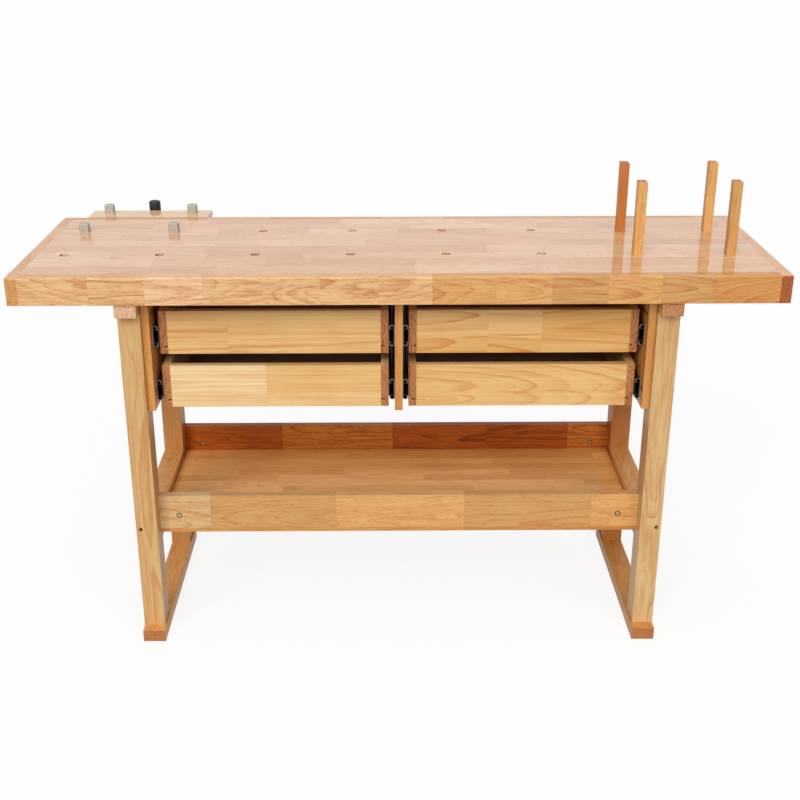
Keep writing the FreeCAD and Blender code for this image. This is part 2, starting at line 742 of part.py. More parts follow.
def vise_jaw():
    """Wooden jaw, flush with the top, with dog holes, rod and screw holes and a seat for the collar."""
    half = JAW_WIDTH / 2
    ends = (vise_x - half, vise_x + half)
    bottom = TOP_HEIGHT - JAW_HEIGHT
    jaw = box(ends, (jaw_front, jaw_rear), (bottom, TOP_HEIGHT))
    rounded = edges_at(jaw, y=jaw_rear, z=TOP_HEIGHT) + edges_at(jaw, y=jaw_rear, z=bottom)
    for end in ends:
        rounded += edges_at(jaw, x=end, y=jaw_rear) + edges_at(jaw, x=end, z=TOP_HEIGHT)
    jaw = jaw.makeFillet(JAW_ROUNDING, rounded)
    before = jaw_front - CUT_OVERRUN
    after = jaw_rear + CUT_OVERRUN
    seat_end = jaw_front + COLLAR_THICKNESS + 2 * COLLAR_PLAY
    seat = rod(COLLAR_DIAMETER / 2 + PASSAGE_CLEARANCE, (vise_x, before, vise_z), (vise_x, seat_end, vise_z))
    screw_radius = VISE_SCREW_DIAMETER / 2 + PASSAGE_CLEARANCE
    cuts = [seat, rod(screw_radius, (vise_x, before, vise_z), (vise_x, after, vise_z))]
    rod_radius = ROD_DIAMETER / 2 + FASTENER_CLEARANCE
    cuts += [rod(rod_radius, (x, before, vise_z), (x, after, vise_z)) for x in rod_places]
    for x in jaw_dog_columns:
        low = (x, jaw_dog_y, bottom - CUT_OVERRUN)
        cuts.append(rod(hole_radius, low, (x, jaw_dog_y, TOP_HEIGHT + CUT_OVERRUN)))
    cuts += [wood_screw_hole(*place) for place in plate_screw_places()]
    return jaw.cut(cuts)


def vise_plate():
    """Steel plate on the jaw's outer face, which holds the rods and is the screw's bearing."""
    half = VISE_PLATE_WIDTH / 2
    half_z = VISE_PLATE_HEIGHT / 2
    plate = box((vise_x - half, vise_x + half), (jaw_rear, plate_rear), (vise_z - half_z, vise_z + half_z))
    before = jaw_rear - CUT_OVERRUN
    after = plate_rear + CUT_OVERRUN
    bores = [(vise_x, VISE_SCREW_DIAMETER)] + [(x, ROD_DIAMETER) for x in rod_places]
    cuts = [rod(d / 2 + SHAFT_CLEARANCE, (x, before, vise_z), (x, after, vise_z)) for x, d in bores]
    return plate.cut(cuts + [wood_screw_hole(*place) for place in plate_screw_places()])


def guide_rods():
    radius = ROD_DIAMETER / 2
    return group([rod(radius, (x, rod_inner_end, vise_z), (x, plate_rear, vise_z)) for x in rod_places])


def vise_screw():
    """Screw with a round head that is cross-bored for the handle."""
    start = (vise_x, top_rear - VISE_SCREW_REACH, vise_z)
    head = rod(VISE_HEAD_DIAMETER / 2, (vise_x, head_front, vise_z), (vise_x, head_rear, vise_z))
    head = head.makeFillet(VISE_HEAD_ROUNDING, edges_at(head, y=head_rear))
    shank = rod(VISE_SCREW_DIAMETER / 2, start, (vise_x, handle_y, vise_z))
    reach = VISE_HEAD_DIAMETER / 2 + CUT_OVERRUN
    low = (vise_x, handle_y, vise_z - reach)
    cross_bore = rod(HANDLE_DIAMETER / 2 + SHAFT_CLEARANCE, low, (vise_x, handle_y, vise_z + reach))
    return head.fuse(shank).removeSplitter().cut(cross_bore)


def screw_collar():
    """Ring pinned on the screw inside the jaw, which draws the jaw back."""
    front = jaw_front + COLLAR_PLAY
    rear = front + COLLAR_THICKNESS
    ring = rod(COLLAR_DIAMETER / 2, (vise_x, front, vise_z), (vise_x, rear, vise_z))
    before = (vise_x, front - CUT_OVERRUN, vise_z)
    return ring.cut(rod(VISE_SCREW_DIAMETER / 2 + SHAFT_CLEARANCE, before, (vise_x, rear + CUT_OVERRUN, vise_z)))


def handle_heights():
    """Lower face of the upper cap, and upper face of the lower cap, with the handle dropped."""
    upper = vise_z + VISE_HEAD_DIAMETER / 2 + HANDLE_STOP_GAP
    lower = upper - HANDLE_LENGTH + 2 * HANDLE_CAP_SEAT
    return upper, lower


def handle_bar():
    upper, lower = handle_heights()
    start = (vise_x, handle_y, lower - HANDLE_CAP_SEAT)
    return rod(HANDLE_DIAMETER / 2, start, (vise_x, handle_y, upper + HANDLE_CAP_SEAT))


def handle_caps():
    """Round-ended caps on the handle bar."""
    caps = []
    for face, direction in zip(handle_heights(), (1, -1)):
        tip = face + direction * HANDLE_CAP_LENGTH
        cap = rod(HANDLE_CAP_DIAMETER / 2, (vise_x, handle_y, face), (vise_x, handle_y, tip))
        cap = cap.makeFillet(HANDLE_CAP_ROUNDING, edges_at(cap, z=tip))
        bottom = face + direction * HANDLE_CAP_SEAT
        open_end = (vise_x, handle_y, face - direction * CUT_OVERRUN)
        seat = rod(HANDLE_DIAMETER / 2 + SHAFT_CLEARANCE, open_end, (vise_x, handle_y, bottom))
        caps.append(cap.cut(seat))
    return group(caps)


# Dogs and pegs

def bench_dog(x, y):
    """Dog with a flat on the front of its round head, standing in a hole."""
    head_top = TOP_HEIGHT + DOG_HEAD_HEIGHT
    head = rod(DOG_HEAD_DIAMETER / 2, (x, y, TOP_HEIGHT), (x, y, head_top))
    flat = y - DOG_FLAT_OFFSET
    waste = box(
        (x - DOG_HEAD_DIAMETER, x + DOG_HEAD_DIAMETER),
        (flat, flat - DOG_HEAD_DIAMETER),
        (TOP_HEIGHT - CUT_OVERRUN, head_top + CUT_OVERRUN),
    )
    head = head.cut(waste)
    head = head.makeFillet(DOG_TOP_ROUNDING, edges_at(head, z=head_top))
    shank = rod(shank_radius, (x, y, TOP_HEIGHT - DOG_SHANK_LENGTH), (x, y, TOP_HEIGHT))
    return head.fuse(shank).removeSplitter()


def bench_dogs():
    """Dogs in the rear row of the top and in the jaw."""
    dogs = {}
    for side, top_x, jaw_x in zip(SIDES, dog_columns, jaw_dog_columns):
        dogs[f"top_{side}_dog"] = bench_dog(top_x, dog_rows[1])
        dogs[f"jaw_{side}_dog"] = bench_dog(jaw_x, jaw_dog_y)
    return dogs


def peg(x, y):
    """Square upright with one top corner rounded, on a round tenon."""
    half = PEG_WIDTH / 2
    tip = TOP_HEIGHT + PEG_HEIGHT
    body = box((x - half, x + half), (y - half, y + half), (TOP_HEIGHT, tip))
    body = body.makeFillet(PEG_ROUNDING, edges_at(body, x=x + half, z=tip))
    shank = rod(shank_radius, (x, y, panel_bottom + PEG_TENON_RELIEF), (x, y, TOP_HEIGHT))
    return body.fuse(shank).removeSplitter()


def pegs():
    rows = zip(("front", "rear"), peg_rows)
    return {f"{row}_{side}_peg": peg(x, y) for row, y in rows for side, x in zip(SIDES, peg_columns)}


def fasteners():
    """Fasteners of the fixed frame, and of the jaw's plate."""
    bolts = rail_bolt_places() + leg_bolt_places()
    screws = case_screw_places() + bearer_screw_places() + divider_screw_places() + base_screw_places()
    return {
        "frame_bolts": group([frame_bolt(*place) for place in bolts]),
        "wood_screws": group([crossed_wood_screw(*place) for place in screws]),
        "vise_plate_screws": group([crossed_wood_screw(*place) for place in plate_screw_places()]),
    }


SINGLE_NODES = [
    top_staves, dog_blocks, front_apron, rear_apron, end_aprons, top_cleats,
    legs, feet, bearers, side_rails,
    shelf_front_rail, shelf_rear_rail, shelf_board, barrel_nuts,
    case_sides, centre_divider, slide_outer_members,
    vise_base, vise_jaw, vise_plate, guide_rods, vise_screw, screw_collar, handle_bar, handle_caps,
]


def all_nodes():
    nodes = {make.__name__: make() for make in SINGLE_NODES}
    for level in LEVELS:
        for side in SIDES:
            for name, shape in drawer_pieces(side, level).items():
                nodes[f"{level}_{side}_drawer_{name}"] = shape
    nodes.update(bench_dogs())
    nodes.update(pegs())
    nodes.update(fasteners())
    return nodes


def main():
    os.makedirs("parts", exist_ok=True)
    for name, shape in all_nodes().items():
        shape.exportStep(f"parts/{name}.step")


if __name__ == "__main__":
    main()
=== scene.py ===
import math

import bmesh
import bpy
from mathutils import Matrix, Vector


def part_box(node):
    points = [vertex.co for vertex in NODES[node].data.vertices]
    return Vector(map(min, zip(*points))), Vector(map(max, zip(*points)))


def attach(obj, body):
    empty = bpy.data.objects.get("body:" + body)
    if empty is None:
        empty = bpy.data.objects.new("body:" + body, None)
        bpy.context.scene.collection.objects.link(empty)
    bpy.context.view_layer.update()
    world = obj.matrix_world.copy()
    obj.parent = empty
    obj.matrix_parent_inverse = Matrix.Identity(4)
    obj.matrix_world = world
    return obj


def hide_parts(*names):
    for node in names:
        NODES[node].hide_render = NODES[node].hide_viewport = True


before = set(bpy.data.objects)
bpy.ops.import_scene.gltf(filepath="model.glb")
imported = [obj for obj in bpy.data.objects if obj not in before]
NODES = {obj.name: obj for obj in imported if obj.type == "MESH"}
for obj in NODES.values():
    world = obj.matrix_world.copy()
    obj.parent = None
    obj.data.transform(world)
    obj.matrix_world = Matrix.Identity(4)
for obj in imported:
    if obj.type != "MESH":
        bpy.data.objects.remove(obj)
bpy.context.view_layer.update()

bl_info = {
    "name": "Joiner's Workbench",
    "version": (1, 0, 0),
    "blender": (4, 5, 0),
    "location": "View3D > Sidebar > Workbench",
    "description": "Dresses the packed workbench in its woods, metals and small parts, on a studio floor",
    "category": "Object",
}

SIDES = ("left", "right")
LEVELS = ("upper", "lower")
DRAWERS = [f"{level}_{side}_drawer" for level in LEVELS for side in SIDES]

# Kinds of shader node
VECTOR = "ShaderNodeVectorMath"
PLACE = "ShaderNodeTexCoord"
NOISE = "ShaderNodeTexNoise"
HASH = "ShaderNodeTexWhiteNoise"
RAMP = "ShaderNodeValToRGB"
JOIN = "ShaderNodeCombineXYZ"
SPLIT = "ShaderNodeSeparateXYZ"

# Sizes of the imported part's boards, in metres
END_APRON_WIDTH = 0.024
CLEAT_WIDTH = 0.044
LEG_WIDTH = 0.045
LEG_DEPTH = 0.056
FOOT_WIDTH = 0.049
BEARER_WIDTH = 0.044
SIDE_RAIL_WIDTH = 0.045
CASE_SIDE_WIDTH = 0.016
DRAWER_SIDE_WIDTH = 0.016

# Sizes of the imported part's vise screw, in metres
SCREW_RADIUS = 0.010
SCREW_HEAD_LENGTH = 0.034
SCREW_JOURNAL_LENGTH = 0.0826

# Corners closer than this, in metres, are one corner, or lie on one face
SAME_CORNER = 0.00001
SAME_FACE = 0.0001

# Studio floor: half its width and its drop below the feet, in metres
FLOOR_REACH = 40
FLOOR_DROP = 0.0005

# Studio floor: grey to the light and to the eye, and share of its own white to the eye
FLOOR_GREYS = (0.45, 0.97)
FLOOR_GLOW = 0.88

# Range that most values of a noise lie in
NOISE_RANGE = (0.3, 0.7)

# Wood: usual length of a piece where none is given, longer than any board, in metres
LONG_RUN = 3.0

# Wood: repeats of a pattern per metre, along the grain and across it
RING_WAVES = (3, 15)
BLOTCHES = (8, 34)
PORES = (60, 420)

# Wood: how far the pith varies from piece to piece, aside, along and below, and its least depth, in metres
PITH_ASIDE = 0.06
PITH_ALONG = 0.1
PITH_BELOW = 0.05
PITH_DEPTH = 0.022

# Wood: darkness of a growth ring through its year
RING_YEAR = ((0, 0), (0.4, 0.08), (0.8, 0.6), (0.93, 1), (1, 0))

# Wood: middle of fibres and blotches in their noise, and how strongly they show
FIBRE_MARK = (0.45, 1.1)
BLOTCH_MARK = (0.42, 0.6)

# Wood: values of their noise between which pores begin and are full
PORE_EDGE = (0.54, 0.68)

# Wood: roughness under the lacquer from fibre to fibre, and height of the fibres in metres
BARE_ROUGHNESS = (0.4, 0.55)
FIBRE_HEIGHT = 0.0004

# Wood: shifts in the noise that set apart pieces, strips and whole boards
PIECE_SHIFT = (31, 17, 23)
STRIP_SHIFT = 37.0
BOARD_SHIFT = 7.0

# End grain: share of its own colour, what its rings keep of that colour, and how much stronger they are
END_SHARE = 0.95
END_RING_TINT = (0.5, 0.32, 0.2)
END_RING_GAIN = 0.3

# Glue seams: width in metres, and share of their colour
SEAM_WIDTH = 0.0008
SEAM_SHARE = 0.12

# Painted shade in a dark rim round a pin's end, for the shadow in the gap round it: where it begins and is
# full, in pin widths, and what it keeps of the colour
RIM_PAINTED_SHADE_EDGE = (0.34, 0.4)
RIM_PAINTED_SHADE = 0.1


def linear(hex_colour):
    """Linear values of an sRGB hex colour."""
    channels = [int(hex_colour[i:i + 2], 16) / 255 for i in (1, 3, 5)]
    return tuple(c / 12.92 if c <= 0.04045 else ((c + 0.055) / 1.055) ** 2.4 for c in channels)


def colour(name, description, hex_colour):
    """Colour that the user can change, given as sRGB hex."""
    return bpy.props.FloatVectorProperty(
        name=name, description=description, subtype="COLOR", size=3, min=0, max=1,
        default=linear(hex_colour))


def length(name, description, metres):
    """Length that the user can change."""
    return bpy.props.FloatProperty(name=name, description=description, unit="LENGTH", min=0, default=metres)


class BenchColours(bpy.types.PropertyGroup):
    """Colours of the bench's woods, metals and plastics."""
    top_pale: colour("Top, pale staves", "Palest staves of the top, and the vise jaw", "#E8BE93")
    top_honey: colour("Top, honey staves", "Most staves of the top", "#DFAE7E")
    top_brown: colour("Top, brown staves", "Darkest staves of the top", "#D59F70")
    frame_pale: colour("Frame, pale boards", "Palest boards of aprons and bearers", "#E0B680")
    frame_honey: colour("Frame, honey boards", "Most boards of aprons, front rail and pegs", "#D9A766")
    frame_brown: colour("Frame, brown boards", "Darkest boards of aprons, feet and drawer case", "#CD9450")
    leg_pale: colour("Legs, pale", "Paler pieces of the legs and the front rail", "#D2B07C")
    leg_honey: colour("Legs, honey", "Darker pieces of legs, front rail and front apron", "#CA9C5E")
    frame_late: colour("Rubberwood growth rings", "Growth rings and fibres of the rubberwood", "#B0611F")
    pine_pale: colour("Pine, pale boards", "Palest boards of the drawers", "#EBCB98")
    pine_honey: colour("Pine, honey boards", "Most boards of drawers and cleats", "#E0B777")
    pine_deep: colour("Pine, deep boards", "Darkest boards of drawers and cleats", "#D8A760")
    pine_late: colour("Pine growth rings", "Growth rings of drawers, cleats and plywood", "#C0762E")
    end_grain: colour("End grain", "Sawn ends of most boards", "#B67642")
    end_honey: colour("Honey end grain", "Sawn ends of the left end apron", "#D29A54")
    end_brown: colour("Brown end grain", "Sawn ends of the right end apron", "#A65200")
    end_pale: colour("Pale end grain", "Sawn ends of the left bearer", "#E3BD9C")
    end_dull: colour("Dull end grain", "Sawn ends of the right bearer", "#BF8859")
    shelf_honey: colour("Shelf, honey boards", "Paler strips of the shelf", "#FFC072")
    shelf_brown: colour("Shelf, brown boards", "Darker strips of the shelf", "#ECA555")
    shelf_late: colour("Shelf growth rings", "Growth rings of the shelf", "#D08A44")
    case_honey: colour("Case, honey boards", "Paler boards of feet, side rails and drawer case", "#E6AB65")
    case_brown: colour("Case, brown boards", "Darker boards of feet, side rails and drawer case", "#D2954F")
    case_dark: colour("Case, darkest boards", "Divider, rear legs, a peg and the front rail's lower strip",
                      "#BA7236")
    # Rear rail: the wood's tones darkened and reddened with painted shade, because the rail stands in the
    # shade of the drawers and shelf
    rail_honey_painted_shade: colour("Rear rail, honey boards", "Paler boards of the rear shelf rail", "#CF7A2B")
    rail_brown_painted_shade: colour("Rear rail, brown boards", "Darker boards of the rear shelf rail", "#B45915")
    rail_late_painted_shade: colour("Rear rail growth rings", "Growth rings of the rear shelf rail", "#6C2C0C")
    seam: colour("Glue seam", "Line between two boards", "#7A4A24")
    # Plywood: drawer bottoms, their dark tone partly their own colour and partly painted shade of the
    # drawers' insides
    plywood: colour("Plywood", "Drawer bottoms, faced with a dark veneer", "#8A5A36")
    brass: colour("Brass", "Barrel nuts", "#CDB98A")
    zinc: colour("Zinc", "Vise screw, rods and handle, wood screws and cut slide ends", "#B9BBBC")
    grey_steel: colour("Grey steel", "Bench dogs", "#B2AFA6")
    black_paint: colour("Black paint", "Drawer slides, vise plate and frame bolts", "#161719")
    iron_enamel: colour("Iron enamel", "Vise base", "#2B2D30")
    rubber: colour("Rubber", "Caps of the vise handle", "#0E0E10")


class BenchSizes(bpy.types.PropertyGroup):
    """Sizes of the bench's patterns and small parts."""
    top_run: length("Top run", "Usual length of a piece within a strip of the top", 0.30)
    apron_run: length("Apron run", "Usual length of a piece within the rear apron", 0.19)
    board_run: length("Board run", "Usual length of a piece within shelf, drawers and drawer case", 0.32)
    rail_strip: length("Rail strip", "Width of a strip of the shelf's rails", 0.078)
    shelf_strip: length("Shelf strip", "Width of a strip of the shelf board", 0.03)
    case_strip: length("Case strip", "Width of a strip of the drawer case", 0.05)
    drawer_strip: length("Drawer strip", "Width of a strip of the drawers", 0.06)
    ring_gap: length("Growth ring", "Width of a growth ring of the rubberwood", 0.0045)
    pine_ring_gap: length("Pine growth ring", "Width of a growth ring of the pine", 0.007)
    eased_edge: length("Eased edge", "Width of the rounding on sawn edges", 0.0012)
    drawer_eased_edge: length("Drawer eased edge", "Width of the rounding on the drawers' edges", 0.00072)
    thread_pitch: length("Thread pitch", "Pitch of the vise screw", 0.006)
    thread_depth: length("Thread depth", "Depth of the vise screw's thread", 0.002)


class BenchStudio(bpy.types.PropertyGroup):
    """Camera and light of the studio."""
    camera_place: bpy.props.FloatVectorProperty(
        name="Camera", description="Where the camera stands", subtype="XYZ", unit="LENGTH", size=3,
        default=(-0.03144, -2.60171, 1.50286))
    camera_yaw: bpy.props.FloatProperty(
        name="Camera turn", description="Turn of the view to the right", subtype="ANGLE",
        default=math.radians(0.2251))
    camera_pitch: bpy.props.FloatProperty(
        name="Camera tilt", description="Tilt of the view downwards", subtype="ANGLE",
        default=math.radians(22.5733))
    camera_roll: bpy.props.FloatProperty(
        name="Camera roll", description="Roll of the view", subtype="ANGLE", default=math.radians(-0.145))
    lens: bpy.props.FloatProperty(
        name="Lens", description="Focal length on a 36 mm sensor", unit="CAMERA", default=54.9115)
    shift: bpy.props.FloatVectorProperty(
        name="Lens shift", description="Share of the frame that the view is shifted by", size=2,
        default=(0.01485, 0.01569))
    left_key_strength: bpy.props.FloatProperty(
        name="Left key light", description="Strength of the soft key light on the left", min=0, default=1.6)
    right_key_strength: bpy.props.FloatProperty(
        name="Right key light", description="Strength of the soft key light on the right", min=0,
        default=0.75)
    fill_strength: bpy.props.FloatProperty(
        name="Fill light", description="Strength of the low light on the fronts", min=0, default=0.55)
    top_strength: bpy.props.FloatProperty(
        name="Top light", description="Strength of the soft light overhead", min=0, default=1.0)
    ambient: bpy.props.FloatProperty(
        name="Ambient", description="Strength of the light from all round", min=0, default=0.2)


def add(tree, kind, inputs=None, stops=(), blend="LINEAR", **settings):
    """Adds a node with its settings, socket values or links and colour stops, and gives its first output."""
    node = tree.nodes.new(kind)
    for name, value in settings.items():
        setattr(node, name, value)
    for name, value in (inputs or {}).items():
        if isinstance(value, bpy.types.NodeSocket):
            tree.links.new(value, node.inputs[name])
        else:
            node.inputs[name].default_value = value
    if stops:
        node.color_ramp.interpolation = blend
        elements = node.color_ramp.elements
        while len(elements) < len(stops):
            elements.new(1)
        for element, (position, stop) in zip(elements, stops):
            element.position = position
            element.color = (*stop, 1)
    return node.outputs[0]


def calc(tree, operation, *values):
    """Works on values or links with a math node, and gives the result."""
    return add(tree, "ShaderNodeMath", dict(enumerate(values)), operation=operation)


def remap(tree, value, before, after):
    """Maps a value from one range to another, and holds it within that."""
    return add(tree, "ShaderNodeMapRange", dict(enumerate((value, *before, *after))))


def mix(tree, share, first, second):
    """Mixes a share of a second colour into a first one."""
    pair = [tone if isinstance(tone, bpy.types.NodeSocket) else (*tone, 1) for tone in (first, second)]
    return add(tree, "ShaderNodeMix", {0: share, 6: pair[0], 7: pair[1]}, data_type="RGBA").node.outputs[2]


def grey(value):
    """Grey colour stop."""
    return (value, value, value)


def shade(tone, share):
    """Colour times a share, which darkens it if under one."""
    return tuple(share * channel for channel in tone)


def faces_across(tree, place, axis, share):
    """Tells the faces whose direction lies along an axis, either way, by more than a given share."""
    facing = add(tree, SPLIT, {0: place["Normal"]}).node.outputs[axis]
    either_way = calc(tree, "ABSOLUTE", facing)
    return calc(tree, "GREATER_THAN", either_way, share)


def seen_rays(tree):
    """Tells the rays that the camera sees, also by way of a shiny or clear thing, from other rays."""
    sight = add(tree, "ShaderNodeLightPath").node.outputs
    seen = calc(tree, "MAXIMUM", sight["Is Camera Ray"], sight["Is Glossy Ray"])
    return calc(tree, "MAXIMUM", seen, sight["Is Transmission Ray"])


def new_material(name):
    """Material with a shader, ready for its pattern."""
    material = bpy.data.materials.new(name)
    material.use_nodes = True
    return material, material.node_tree, material.node_tree.nodes["Principled BSDF"]


def box_span(node, axis):
    """Low and high end of a node along an axis."""
    low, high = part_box(node)
    return low["XYZ".index(axis)], high["XYZ".index(axis)]


def like_spans(node, axis, width, count=2):
    """Spans along an axis of a node's like pieces, which stand apart."""
    low, high = box_span(node, axis)
    step = (high - low - width) / (count - 1)
    return [(low + i * step, low + i * step + width) for i in range(count)]


def strip_spans(node, axis, width):
    """Spans along an axis of glued strips, with the odd one at the low end."""
    low, high = box_span(node, axis)
    count = math.ceil((high - low) / width - 0.001)
    edges = [low] + [high - width * i for i in range(count - 1, -1, -1)]
    return list(zip(edges, edges[1:]))


def joint_spans(node, axis, end):
    """Spans along an axis between a node's joints, read off its face at the low end of another axis."""
    i, j = "XYZ".index(axis), "XYZ".index(end)
    low = box_span(node, end)[0]
    corners = [vertex.co for vertex in NODES[node].data.vertices if abs(vertex.co[j] - low) < SAME_FACE]
    edges = sorted({round(corner[i], 4) for corner in corners})
    return list(zip(edges, edges[1:]))


def joined_spans(node, axis, joints):
    """Spans along an axis of a node's pieces, between the places of their joints."""
    low, high = box_span(node, axis)
    edges = [low, *joints, high]
    return list(zip(edges, edges[1:]))


def cells(tree, coordinate, spans, first=0.0):
    """Number of the span a coordinate lies in, the coordinate from its middle, and how far a joint is."""
    middles = [(low + high) / 2 for low, high in spans]
    number = first
    local = calc(tree, "SUBTRACT", coordinate, middles[0])
    to_joint = 1.0
    for i, (before, after) in enumerate(zip(spans, spans[1:])):
        past = calc(tree, "SUBTRACT", coordinate, (before[1] + after[0]) / 2)
        step = calc(tree, "GREATER_THAN", past, 0.0)
        number = calc(tree, "ADD", step, number)
        local = calc(tree, "MULTIPLY_ADD", step, middles[i] - middles[i + 1], local)
        away = calc(tree, "ABSOLUTE", past)
        to_joint = calc(tree, "MINIMUM", away, to_joint)
    return number, local, to_joint


def uneven_runs(tree, along, run, strip_id):
    """Number of the piece a coordinate lies in, the coordinate from its middle, and how far a joint is.

    Run is the usual length of a strip's pieces, which differ.
    """
    chance = add(tree, HASH, {"Vector": strip_id}, noise_dimensions="3D")
    shift = calc(tree, "MULTIPLY", chance, STRIP_SHIFT)
    runs = calc(tree, "MULTIPLY_ADD", along, 1 / run, shift)
    uneven = add(tree, NOISE, {"W": runs, "Scale": 0.8, "Detail": 0.0}, noise_dimensions="1D")
    runs = calc(tree, "MULTIPLY_ADD", uneven, 0.9, runs)
    number = calc(tree, "FLOOR", runs)
    part = calc(tree, "FRACT", runs)
    local = calc(tree, "MULTIPLY_ADD", part, run, -run / 2)
    to_joint = calc(tree, "PINGPONG", runs, 0.5)
    to_joint = calc(tree, "MULTIPLY", to_joint, run)
    return number, local, to_joint


def growth_rings(tree, look, chance, waves, lengthwise, over, deep):
    """Darkness of the growth rings at a spot, given along, across and into its piece from the middle.

    They are cylinders round the pith, which leans to the face somewhere along the piece, and wave a little.
    """
    chances = add(tree, SPLIT, {0: chance["Color"]}).node.outputs
    waves = add(tree, SPLIT, {0: waves}).node.outputs
    aside = calc(tree, "MULTIPLY_ADD", chances["Y"], PITH_ASIDE, over)
    aside = calc(tree, "MULTIPLY_ADD", waves["X"], look["wander"], aside)
    aside = calc(tree, "SUBTRACT", aside, (PITH_ASIDE + look["wander"]) / 2)
    lean = remap(tree, chance["Value"], (0, 1), (-look["lean"], look["lean"]))
    heart = calc(tree, "MULTIPLY_ADD", chances["Y"], PITH_ALONG, lengthwise)
    heart = calc(tree, "SUBTRACT", heart, PITH_ALONG / 2)
    under = calc(tree, "MULTIPLY_ADD", chances["Z"], PITH_BELOW, deep)
    under = calc(tree, "MULTIPLY_ADD", lean, heart, under)
    under = calc(tree, "MULTIPLY_ADD", waves["Y"], look["wander"], under)
    under = calc(tree, "ADD", under, PITH_DEPTH)
    from_pith = add(tree, JOIN, {0: aside, 1: under})
    radius = add(tree, VECTOR, {0: from_pith}, operation="LENGTH").node.outputs["Value"]

    # Years of uneven width and darkness
    years = calc(tree, "MULTIPLY", radius, 1 / look["gap"])
    season = add(tree, NOISE, {"W": years, "Scale": 0.7, "Detail": 0.0}, noise_dimensions="1D")
    years = calc(tree, "MULTIPLY_ADD", season, 1.2, years)
    years = calc(tree, "FRACT", years)
    ring = add(tree, RAMP, {0: years}, stops=[(part, grey(value)) for part, value in RING_YEAR])
    season = remap(tree, season, (0.35, 0.65), (0.3, 1))
    return calc(tree, "MULTIPLY", ring, season)


